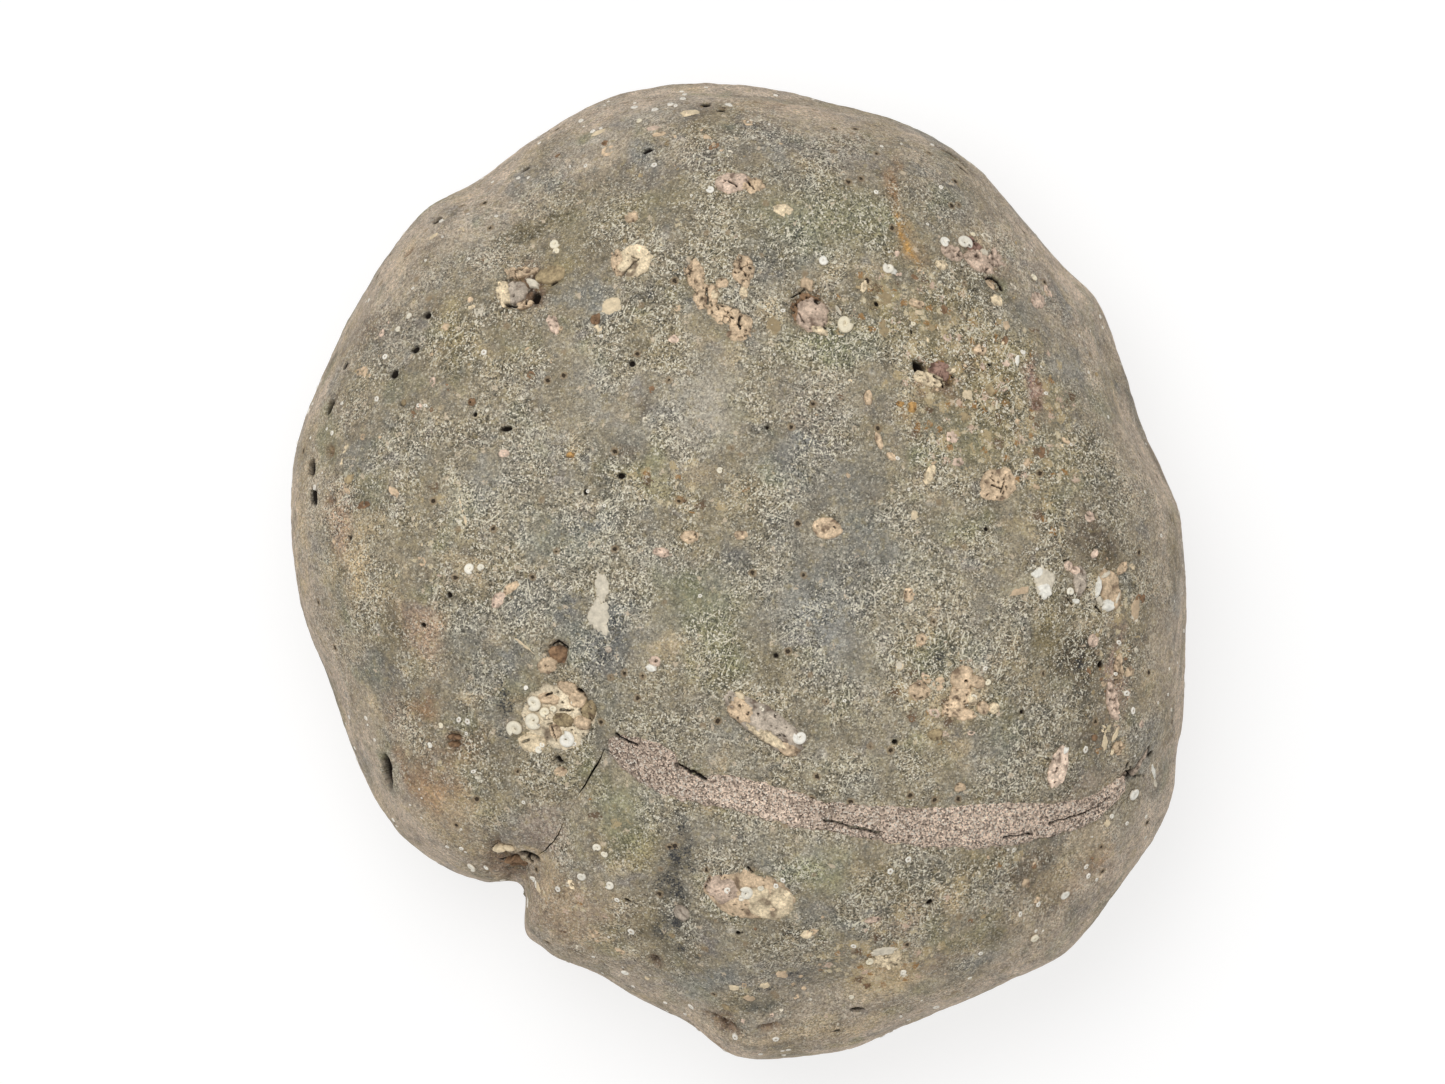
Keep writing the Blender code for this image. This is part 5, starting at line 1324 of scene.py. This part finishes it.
def coil(x, y, radius, number):
    """A worm tube coiled flat on the stone, widening to its open mouth."""
    rng = np.random.default_rng(COIL_SEED + number)
    middle, along, across, normal = seat(x, y, rng.uniform(0, 360))
    skin, normal = skin_under(middle[None])
    middle, normal = skin[0], normal[0]
    hand = 1 if rng.random() < 0.5 else -1
    share = np.linspace(0, 1, COIL_STEPS)
    angle = share * COIL_TURNS * 2 * math.pi * hand
    path = radius * (COIL_PATH[0] + COIL_PATH[1] * share)
    tube = radius * (COIL_TUBE[0] + COIL_TUBE[1] * share)
    out = np.cos(angle)[:, None] * along + np.sin(angle)[:, None] * across
    squash = rng.uniform(*COIL_SQUASH)
    ring = np.cos(angle)[:, None] * along + np.sin(angle)[:, None] * across * squash
    spine = middle + ring * path[:, None] + normal * (tube * 0.35 + 0.1 + COIL_RISE * share)[:, None]
    pale, warm = rng.uniform(*COIL_PALENESS), rng.uniform(0, 1)
    crown = (linear(CREST) * (1 - warm) + linear(CREST_WARM) * warm) * pale
    points, faces, colours = [], [], []
    for i in range(COIL_STEPS):
        for s in range(COIL_SIDES):
            turn = 2 * math.pi * s / COIL_SIDES
            points.append(spine[i] + tube[i] * (math.cos(turn) * out[i] + 0.8 * math.sin(turn) * normal))
            # painted light and shade: the tube's top lit white, its lower side shaded brown
            lit_share = np.clip(0.62 + 0.6 * math.sin(turn), 0, 1)
            colours.append(linear(GROOVE_SHADE) * (1 - lit_share) + crown * lit_share)
    for i in range(COIL_STEPS - 1):
        faces += band(i * COIL_SIDES, (i + 1) * COIL_SIDES, hand)
    start = tuple(range(COIL_SIDES))
    faces.append(start[::-1] if hand > 0 else start)
    mouth = (COIL_STEPS - 1) * COIL_SIDES
    inner = len(points)
    forward = (spine[-1] - spine[-2]) / np.linalg.norm(spine[-1] - spine[-2])
    for s in range(COIL_SIDES):
        points.append(spine[-1] + 0.6 * (points[mouth + s] - spine[-1]))
    for s in range(COIL_SIDES):
        points.append(points[inner + s] - forward * tube[-1] * 1.2)
    # painted shade inside the mouth: a darker lip and a dark floor
    colours += [linear(CREST) * 0.8] * COIL_SIDES + [linear(ORIFICE_SHADE)] * COIL_SIDES
    faces += band(mouth, inner, hand) + band(inner, inner + COIL_SIDES, hand)
    floor = tuple(inner + COIL_SIDES + s for s in range(COIL_SIDES))
    faces.append(floor if hand > 0 else floor[::-1])
    return np.array(points), faces, np.array(colours)


BUTTON_SEED = 900
BUTTON_SIDES = 12
BUTTON_SQUASH = (0.66, 1.0)
# the paleness is painted light and shade: lit on the ring's top, shaded at its sunk edge and in its dimple
BUTTON_RINGS = (                # reach from the middle, lift, and how pale, ring by ring
    (1.0, -0.4, 0.4), (0.95, 0.2, 0.85), (0.72, 0.4, 1.0), (0.42, 0.34, 0.75), (0.26, 0.1, 0.3),
)


def button(x, y, radius, number, side=1):
    """A small barnacle: a low ring with a dimple in its middle."""
    rng = np.random.default_rng(BUTTON_SEED + number)
    middle, along, across, _ = seat(x, y, rng.uniform(0, 360), side)
    around, rings = BUTTON_SIDES, BUTTON_RINGS
    squash = rng.uniform(*BUTTON_SQUASH)
    angle = np.linspace(0, 2 * math.pi, around, endpoint=False)
    ragged = 1 + 0.1 * np.sin(angle * 5 + rng.uniform(0, 6))
    points = []
    for reach, lift, _ in rings:
        flat = (middle + (radius * reach * ragged * np.cos(angle))[:, None] * along
                + (radius * reach * squash * ragged * np.sin(angle))[:, None] * across)
        skin, normals = skin_under(flat)
        points.append(skin + normals * radius * lift)
    skin, normals = skin_under(middle[None])
    points += [skin + normals * radius * 0.02, skin - normals * 0.8]
    faces = dome_faces(len(rings), around)
    base = len(rings) * around + 1
    faces += [((j + 1) % around, j, base) for j in range(around)]
    pale = rng.uniform(*COIL_PALENESS)
    # painted light and shade ring by ring, and dark painted shade in the dimple's middle
    colours = [linear(GROOVE_SHADE) * (1 - lit_share) + linear(CREST) * lit_share * pale
               for _, _, lit_share in rings for _ in range(around)]
    colours += [linear(ORIFICE_SHADE), linear(GROOVE_SHADE)]
    return np.concatenate(points), faces, np.array(colours)


SCATTER_SEED = 77
SCATTER_COUNT = 320
SCATTER_SIZE = (0.35, 0.8)
SCATTER_LEVELS = (14, 105)      # none below the first, few above the second
SCATTER_ON_TOP = (0.16, 0.5)    # the share kept there, and at the upper right


def scattered():
    """Tiny barnacles sprinkled over the sides, the underside and, thinly, the top."""
    rng = np.random.default_rng(SCATTER_SEED)
    spots = []
    while len(spots) < SCATTER_COUNT:
        ray = rng.normal(size=3)
        ray = ray / np.linalg.norm(ray)
        point = bare_form(ray[None])[0][0]
        lowest, top = SCATTER_LEVELS
        upper_right = point[0] > 40 and point[1] > 20
        if point[2] < lowest or (point[2] > top and rng.random() > SCATTER_ON_TOP[upper_right]):
            continue
        spots.append((point[0], point[1], rng.uniform(*SCATTER_SIZE), 1 if point[2] > WIDEST_LEVEL else -1))
    return spots


def growths():
    """The coiled tubes and the barnacles, as two pieces."""
    tubes = [coil(x, y, radius, n) for n, (x, y, radius) in enumerate(COILS)]
    buttons = [button(x, y, radius, n) for n, (x, y, radius) in enumerate(SPECKS)]
    buttons += [button(x, y, radius, 100 + n, side) for n, (x, y, radius, side) in enumerate(scattered())]
    return (piece("worm_tubes", joined("worm_tubes", tubes)),
            piece("barnacles", joined("barnacles", buttons)))


# ---------------------------------------------------------------- materials

class Graph:
    """A material's nodes, added and joined in few words."""

    def __init__(self, name):
        self.material = bpy.data.materials.new(name)
        self.material.use_nodes = True
        self.tree = self.material.node_tree
        self.shader = self.tree.nodes["Principled BSDF"]
        self.shader.inputs["Metallic"].default_value = 0.0
        self.shader.inputs["Specular IOR Level"].default_value = 0.2
        where = self.node("ShaderNodeTexCoord", {})
        scaled = self.node("ShaderNodeVectorMath", {0: where.outputs["Object"], "Scale": 1 / MM},
                           operation="SCALE")
        self.mm = scaled.outputs[0]
        self.wobble = None

    def node(self, kind, inputs, **settings):
        made = self.tree.nodes.new(kind)
        for key, value in settings.items():
            setattr(made, key, value)
        for key, value in inputs.items():
            if isinstance(value, bpy.types.NodeSocket):
                self.tree.links.new(value, made.inputs[key])
            else:
                made.inputs[key].default_value = value
        return made

    def maths(self, operation, a, b=0.0):
        return self.node("ShaderNodeMath", {0: a, 1: b}, operation=operation).outputs[0]

    def noise(self, size, detail=2.0, rough=0.5, at=None):
        inputs = {"Vector": at or self.mm, "Scale": 1 / size, "Detail": detail, "Roughness": rough}
        return self.node("ShaderNodeTexNoise", inputs).outputs["Fac"]

    def ragged(self):
        """The one noise that roughens the edges of all spots."""
        if self.wobble is None:
            self.wobble = self.swing(self.noise(0.9, 3.0, 0.7), -0.3, 0.3)
        return self.wobble

    def cells(self, size, at=None):
        inputs = {"Vector": at or self.mm, "Scale": 1 / size, "Randomness": 1.0}
        return self.node("ShaderNodeTexVoronoi", inputs).outputs

    def between(self, value, low, high, to_low=0.0, to_high=1.0):
        inputs = {"Value": value, "From Min": low, "From Max": high, "To Min": to_low, "To Max": to_high}
        return self.node("ShaderNodeMapRange", inputs, clamp=True).outputs[0]

    def blend(self, share, a, b, kind="MIX"):
        made = self.node("ShaderNodeMix", {0: share, 6: a, 7: b}, data_type="RGBA", blend_type=kind)
        return made.outputs[2]

    def laid(self, colour, share, tone, strength=None):
        """A tone laid over a colour, by a share at each point and a strength for them all."""
        if strength is not None:
            share = self.maths("MULTIPLY", share, strength)
        return self.blend(share, colour, rgba(tone))

    def kept(self, name):
        """The values kept at the mesh's points under a name."""
        return self.node("ShaderNodeAttribute", {}, attribute_name=name).outputs

    def swing(self, value, low, high):
        """A noise stretched so that it goes from low to high."""
        return self.between(value, *NOISE_RANGE, low, high)

    def channel(self, colour, index):
        return self.node("ShaderNodeSeparateColor", {0: colour}).outputs[index]

    def scale_colour(self, colour, factor):
        made = self.node("ShaderNodeVectorMath", {0: colour, "Scale": factor}, operation="SCALE")
        return made.outputs[0]

    def finish(self, colour, height, roughness, depth):
        """Sets the colour, the roughness and the bump, whose full height is depth."""
        self.tree.links.new(colour, self.shader.inputs["Base Color"])
        if isinstance(roughness, float):
            self.shader.inputs["Roughness"].default_value = roughness
        else:
            self.tree.links.new(roughness, self.shader.inputs["Roughness"])
        bump = self.node("ShaderNodeBump", {"Height": height, "Distance": depth * MM, "Strength": 1.0})
        self.tree.links.new(bump.outputs[0], self.shader.inputs["Normal"])
        return self.material


def rgba(colour):
    return (*linear(colour), 1.0)


NOISE_RANGE = (0.3, 0.7)        # between which nearly all values of a noise lie
HAIRS = (                       # size of the curls, where in the noise, size of the gaps, and shift
    (2.4, 0.47, 1.5, 0.0), (3.4, 0.53, 1.3, 41.0),
)
HAIR_EDGE = (0.024, 0.010)      # how far from its level in the noise a curl ends, and is full
HAIR_GAPS = (0.52, 0.57)
DASHES = ((0.35, 4.2), (1.4, 3.4), (2.5, 5.0), (1.95, 4.4))  # turn, and length of the straight marks
DASH_WIDTH = 0.38
DASH_EDGE = (0.75, 0.79)


def hairs(graph):
    """Short, fine pale marks lying all ways, some curly and some straight."""
    total = None
    for size, level, gap, shift in HAIRS:
        at = graph.node("ShaderNodeVectorMath", {0: graph.mm, 1: (shift, shift, shift)},
                        operation="ADD").outputs[0]
        near = graph.maths("ABSOLUTE", graph.maths("SUBTRACT", graph.noise(size, 0.0, 0.5, at), level))
        line = graph.between(near, *HAIR_EDGE)
        mark = graph.maths("MULTIPLY", line, graph.between(graph.noise(gap, 1.0, 0.5, at), *HAIR_GAPS))
        total = mark if total is None else graph.maths("MAXIMUM", total, mark)
    for turn, length in DASHES:
        turned = graph.node("ShaderNodeVectorRotate", {"Vector": graph.mm, "Angle": turn},
                            rotation_type="Z_AXIS").outputs[0]
        drawn = graph.node("ShaderNodeVectorMath",
                           {0: turned, 1: (1 / length, 1 / DASH_WIDTH, 1 / length)},
                           operation="MULTIPLY").outputs[0]
        dash = graph.between(graph.noise(1.0, 0.0, 0.5, drawn), *DASH_EDGE)
        total = graph.maths("MAXIMUM", total, dash)
    return total


INKS = {                        # the colours of grains, marks and grime, and the painted shade of pits, holes and pores
    "straw": (184, 168, 124), "slate": (116, 120, 116), "black_grain": (66, 64, 54),
    "white_grain": (238, 231, 212), "hair": (232, 225, 203), "fleck": (234, 226, 208),
    "chip": (216, 198, 172), "pit_rim": (152, 132, 104), "pit": (48, 38, 30), "soot": (46, 49, 55),
    "hole": (24, 17, 13), "pore": (92, 70, 56), "mortar_left": (190, 170, 153),
    "mortar": (226, 203, 183), "mortar_white": (240, 230, 215), "mortar_black": (78, 62, 54),
    "mortar_pebble": (206, 184, 158),
}
PATCHY_SIZE = 4.0               # sizes of the stone's noises and cells, in millimetres
GRAIN_SIZE = 1.0
FINE_SIZE = 0.4
HUE_SIZE = 2.2
FLECK_SIZE = 1.6
CHIP_SIZE = 3.4
PIT_SPACING = 7.0
SOOT_SIZE = 0.8
STONE_BUMP = 0.5
PATCHY_SHADE = (0.84, 1.14)     # darkest and lightest that each noise makes the stone
GRAIN_SHADE = (0.58, 1.3)
GRAIN_ROUGHNESS = (0.8, 0.95)
SPECK_MIDDLE = 0.52             # of the fine cells' random shade
SPECK_STRENGTH = 1.4
SPECK_BASE = 0.955
BLACK_GRAINS = (0.9, 0.93, 0.0, 0.7)            # from which share of the fine cells, and how strong
WHITE_GRAINS = (0.89, 0.92, 0.0, 0.85)
HAIR_STRENGTH = 0.88
FLECKS = (FLECK_SIZE, 0.22, 0.74)               # size, radius in a cell, rarity
FLECK_STRENGTH = 0.85
CHIPS = (CHIP_SIZE, 0.2, 0.8)
CHIP_STRENGTH = 0.75
PIT_RARITY = 0.7


def stone_material():
    """Worn stone: its tint, salt-and-pepper grain, pale curls and flecks, blots, soot, and painted shade in
    pits and holes.
    """
    graph = Graph("worn_stone")
    colour = graph.kept("tint")["Color"]
    cover = graph.kept("cover")
    soot, blots, hollow = (graph.channel(cover["Color"], n) for n in range(3))
    marked = cover["Alpha"]
    patchy = graph.noise(PATCHY_SIZE, 4.0, 0.65)
    grain = graph.noise(GRAIN_SIZE, 4.0, 0.8)
    fine = graph.cells(FINE_SIZE)["Color"]
    picks = [graph.channel(fine, n) for n in range(3)]
    # light and dark
    shade = graph.maths("MULTIPLY", graph.swing(patchy, *PATCHY_SHADE), graph.swing(grain, *GRAIN_SHADE))
    strong = graph.between(marked, 0.0, 0.7, 0.35, 1.0)
    speck = graph.maths("MULTIPLY", graph.maths("SUBTRACT", picks[0], SPECK_MIDDLE), strong)
    speck = graph.maths("MULTIPLY", speck, SPECK_STRENGTH)
    shade = graph.maths("MULTIPLY", shade, graph.maths("ADD", speck, SPECK_BASE))
    colour = graph.scale_colour(colour, shade)
    # hues and blots
    hue = graph.noise(HUE_SIZE, 3.0, 0.7)
    colour = graph.laid(colour, graph.between(hue, 0.53, 0.72, 0.0, 0.45), INKS["straw"])
    colour = graph.laid(colour, graph.between(hue, 0.47, 0.28, 0.0, 0.4), INKS["slate"])
    colour = blots_over(graph, colour, blots)
    # single grains, curls, flecks and chips
    colour = graph.laid(colour, graph.between(picks[2], *BLACK_GRAINS), INKS["black_grain"], strong)
    colour = graph.laid(colour, graph.between(picks[1], *WHITE_GRAINS), INKS["white_grain"], strong)
    marks = graph.maths("MULTIPLY", hairs(graph), marked)
    colour = graph.laid(colour, marks, INKS["hair"], HAIR_STRENGTH)
    flecks = graph.maths("MULTIPLY", spots(graph, *FLECKS),
                         graph.between(marked, 0.0, 0.6, 0.3, 1.0))
    colour = graph.laid(colour, flecks, INKS["fleck"], FLECK_STRENGTH)
    colour = graph.laid(colour, spots(graph, *CHIPS), INKS["chip"], CHIP_STRENGTH)
    # pits in a few of the widest cells, painted as shade: a darker rim and a near-black middle
    well = graph.cells(PIT_SPACING)
    far = graph.maths("ADD", well["Distance"], graph.swing(grain, -0.05, 0.05))
    pitted = graph.maths("GREATER_THAN", graph.channel(well["Color"], 1), PIT_RARITY)
    rim = graph.maths("MULTIPLY", graph.between(far, 0.2, 0.15, 0.0, 0.7), pitted)
    colour = graph.laid(colour, rim, INKS["pit_rim"])
    pit = graph.maths("MULTIPLY", graph.between(far, 0.1, 0.07, 0.0, 0.9), pitted)
    colour = graph.laid(colour, pit, INKS["pit"])
    # soot, and painted shade, near black, in the holes and slits
    reach = graph.maths("ADD", graph.noise(SOOT_SIZE, 4.0, 0.8), graph.maths("MULTIPLY", soot, 0.4))
    reach = graph.maths("ADD", reach, graph.between(picks[0], 0, 1, -0.16, 0.16))
    colour = graph.laid(colour, graph.between(reach, 0.72, 0.84, 0.0, 0.88), INKS["soot"])
    colour = graph.laid(colour, graph.between(hollow, 0.08, 0.75, 0.0, 0.98), INKS["hole"])
    height = graph.maths("ADD", graph.maths("MULTIPLY", grain, 0.7), graph.maths("MULTIPLY", patchy, 0.8))
    height = graph.maths("ADD", height, graph.maths("MULTIPLY", picks[0], 0.12))
    height = graph.maths("SUBTRACT", height, graph.maths("MULTIPLY", pit, 0.9))
    roughness = graph.maths("MAXIMUM", graph.swing(grain, *GRAIN_ROUGHNESS), hollow)
    return graph.finish(colour, height, roughness, STONE_BUMP)


BLOTS = (                       # size of the cells, radius in a cell, rarity, colour, strength
    (4.2, 0.46, 0.55, (188, 168, 130), 0.85), (2.4, 0.4, 0.55, (214, 198, 164), 0.85),
    (3.2, 0.34, 0.66, (160, 120, 72), 0.85), (5.0, 0.32, 0.62, (100, 76, 58), 0.8),
    (3.7, 0.32, 0.7, (212, 184, 162), 0.85),
)


def blots_over(graph, colour, amount):
    """Adds ragged blots of several tones, the more the larger amount is."""
    for size, radius, rarity, tone, strength in BLOTS:
        colour = graph.laid(colour, spots(graph, size, radius, rarity, amount), tone, strength)
    return colour


def spots(graph, size, radius, rarity, amount=None):
    """Small ragged spots in the rarest of the cells of a size, rarer where amount is small."""
    cell = graph.cells(size)
    inside = graph.between(graph.maths("ADD", cell["Distance"], graph.ragged()), radius, radius * 0.7)
    pick = graph.channel(cell["Color"], 0)
    if amount is not None:
        pick = graph.maths("MULTIPLY", pick, graph.between(amount, 0.0, 1.0, rarity, 1.0))
        pick = graph.maths("SUBTRACT", pick, graph.between(amount, 0.0, 0.5, 0.3, 0.0))
    return graph.maths("MULTIPLY", inside, graph.maths("GREATER_THAN", pick, rarity))


SILT_FINISH = (0.92, 0.3)       # roughness, and the height of the finest bumps
CRUST_FINISH = (0.88, 0.25)
MORTAR_FINISH = (0.93, 0.5)
SHELL_BUMP = 0.12
TUBE_ROUGHNESS = 0.66
BARNACLE_ROUGHNESS = 0.74


def silt_material():
    """Hard, gritty silt over its kept tint."""
    graph = Graph("hard_silt")
    grit = graph.noise(0.8, 4.0, 0.75)
    fine = graph.channel(graph.cells(FINE_SIZE)["Color"], 0)
    shade = graph.maths("MULTIPLY", graph.swing(grit, 0.76, 1.2), graph.between(fine, 0, 1, 0.84, 1.18))
    colour = graph.scale_colour(graph.kept("tint")["Color"], shade)
    # painted shade in small sunk pores
    pore = spots(graph, 1.9, 0.16, 0.8)
    colour = graph.laid(colour, pore, INKS["pore"], 0.6)
    height = graph.maths("SUBTRACT", grit, graph.maths("MULTIPLY", pore, 0.4))
    return graph.finish(colour, height, *SILT_FINISH)


def crust_material():
    """Thin, chalky crust over its kept tint."""
    graph = Graph("cream_crust")
    grit = graph.noise(0.7, 3.0, 0.7)
    colour = graph.scale_colour(graph.kept("tint")["Color"], graph.swing(grit, 0.86, 1.1))
    return graph.finish(colour, grit, *CRUST_FINISH)


def shell_material(name, roughness):
    """Chalky shell over its kept tint, with faint clouds."""
    graph = Graph(name)
    cloud = graph.noise(1.6, 3.0, 0.6)
    grit = graph.noise(0.5, 2.0, 0.6)
    shade = graph.maths("MULTIPLY", graph.between(cloud, 0.35, 0.62, 0.86, 1.0), graph.swing(grit, 0.9, 1.06))
    colour = graph.scale_colour(graph.kept("tint")["Color"], shade)
    return graph.finish(colour, grit, roughness, SHELL_BUMP)


SAND_SIZE = 0.44                # of the mortar's sand grains
PEBBLE_SIZE = 1.15
LEFT_END = (-30.0, 4.0)         # between which the mortar goes from its left colour to its own
RIGHT_END = (62.0, 82.0)        # between which it darkens to RIGHT_DIM
RIGHT_DIM = 0.84
DIM_MIDDLE = 35.0               # x of the darker stretch, whose half width grows from the first
DIM_REACH = (12.0, 22.0)        # of these to the second
DIM_SHARE = 0.76


def mortar_material():
    """Sandy mortar: darker at both ends and in one stretch, with pale and dark grains."""
    graph = Graph("sandy_mortar")
    cloud = graph.noise(9.0, 3.0, 0.6)
    grit = graph.noise(1.2, 4.0, 0.75)
    sand = graph.cells(SAND_SIZE)
    picks = [graph.channel(sand["Color"], n) for n in range(3)]
    across = graph.node("ShaderNodeSeparateXYZ", {0: graph.mm}).outputs[0]
    colour = graph.blend(graph.between(across, *LEFT_END), rgba(INKS["mortar_left"]), rgba(INKS["mortar"]))
    colour = graph.scale_colour(colour, graph.between(across, *RIGHT_END, 1.0, RIGHT_DIM))
    from_dim = graph.maths("ABSOLUTE", graph.maths("SUBTRACT", across, DIM_MIDDLE))
    colour = graph.scale_colour(colour, graph.between(from_dim, *DIM_REACH, DIM_SHARE, 1.0))
    colour = graph.scale_colour(colour, graph.between(cloud, 0.35, 0.65, 0.9, 1.1))
    shade = graph.maths("MULTIPLY", graph.swing(grit, 0.74, 1.24), graph.between(picks[0], 0, 1, 0.3, 1.7))
    colour = graph.scale_colour(colour, shade)
    for pick, rarity, name, strength in ((1, 0.86, "mortar_white", 0.8), (2, 0.87, "mortar_black", 0.75)):
        rare = graph.maths("GREATER_THAN", picks[pick], rarity)
        colour = graph.laid(colour, rare, INKS[name], strength)
    coarse = graph.cells(PEBBLE_SIZE)
    pebble = graph.maths("MULTIPLY", graph.between(coarse["Distance"], 0.34, 0.24),
                         graph.maths("GREATER_THAN", graph.channel(coarse["Color"], 0), 0.82))
    colour = graph.laid(colour, pebble, INKS["mortar_pebble"], 0.6)
    # the kept tint carries the painted shade in the cracks
    colour = graph.node("ShaderNodeVectorMath", {0: colour, 1: graph.kept("tint")["Color"]},
                        operation="MULTIPLY").outputs[0]
    height = graph.maths("ADD", graph.maths("MULTIPLY", grit, 0.7), sand["Distance"])
    height = graph.maths("ADD", height, graph.maths("MULTIPLY", pebble, 0.4))
    return graph.finish(colour, height, *MORTAR_FINISH)


# ---------------------------------------------------------------- table, light and camera

TABLE_HALF = 2.5
FLOOR_GLOW = 0.72
TABLE_SHADE = 0.32
TABLE_ROUGHNESS = 0.9
ROOM_LIGHT = 0.5
LAMP_POWER = 13.0
LAMP_SIZE = 0.8
LAMP_PLACE = (-0.2, 0.3, 1.6)   # in metres
IMAGE_SIZE = (1445, 1084)
PIXELS_PER_MM = 3.5
IMAGE_MIDDLE = (-4.1, 8.4)      # what the camera points at, in millimetres
CAMERA_HEIGHT = 6.0             # above the widest level, in metres
SENSOR = 36.0
CLIP_END = 50.0


def stage_and_light():
    """A plain white table, a bright even room and one broad soft lamp up and to the left."""
    mesh = bpy.data.meshes.new("table")
    corners = [(-TABLE_HALF, -TABLE_HALF, 0), (TABLE_HALF, -TABLE_HALF, 0),
               (TABLE_HALF, TABLE_HALF, 0), (-TABLE_HALF, TABLE_HALF, 0)]
    mesh.from_pydata(corners, [], [(0, 1, 2, 3)])
    table = bpy.data.objects.new("table", mesh)
    bpy.context.scene.collection.objects.link(table)
    white = Graph("white_table")
    white.shader.inputs["Base Color"].default_value = (TABLE_SHADE, TABLE_SHADE, TABLE_SHADE, 1)
    white.shader.inputs["Roughness"].default_value = TABLE_ROUGHNESS
    white.shader.inputs["Emission Color"].default_value = (1, 1, 1, 1)
    white.shader.inputs["Emission Strength"].default_value = FLOOR_GLOW
    mesh.materials.append(white.material)
    world = bpy.data.worlds.new("room")
    world.use_nodes = True
    back = world.node_tree.nodes["Background"]
    back.inputs["Color"].default_value = (1, 1, 1, 1)
    back.inputs["Strength"].default_value = ROOM_LIGHT
    bpy.context.scene.world = world
    lamp_data = bpy.data.lights.new("soft_lamp", "AREA")
    lamp_data.shape = "DISK"
    lamp_data.size = LAMP_SIZE
    lamp_data.energy = LAMP_POWER
    lamp = bpy.data.objects.new("soft_lamp", lamp_data)
    lamp.location = LAMP_PLACE
    lamp.rotation_euler = (-Vector(lamp.location)).to_track_quat("-Z", "Y").to_euler()
    bpy.context.scene.collection.objects.link(lamp)


def camera():
    """A long lens looking straight down."""
    data = bpy.data.cameras.new("camera")
    width = IMAGE_SIZE[0] / PIXELS_PER_MM * MM
    data.sensor_width = SENSOR
    data.lens = SENSOR * CAMERA_HEIGHT / width
    data.clip_end = CLIP_END
    made = bpy.data.objects.new("camera", data)
    made.location = (IMAGE_MIDDLE[0] * MM, IMAGE_MIDDLE[1] * MM, WIDEST_LEVEL * MM + CAMERA_HEIGHT)
    bpy.context.scene.collection.objects.link(made)
    bpy.context.scene.camera = made


def dress(made, material):
    made.data.materials.clear()
    made.data.materials.append(material)


camera()
stage_and_light()
stone_finish = stone_material()
dress(stone("worn_main_stone", True), stone_finish)
dress(stone("worn_broken_piece", False), stone_finish)
dress(filler(), mortar_material())
dress(silt_plugs(), silt_material())
dress(pale_crusts(), crust_material())
tubes, barnacles = growths()
dress(tubes, shell_material("tube_shell", TUBE_ROUGHNESS))
dress(barnacles, shell_material("barnacle_shell", BARNACLE_ROUGHNESS))
bpy.context.scene.view_settings.view_transform = "Standard"
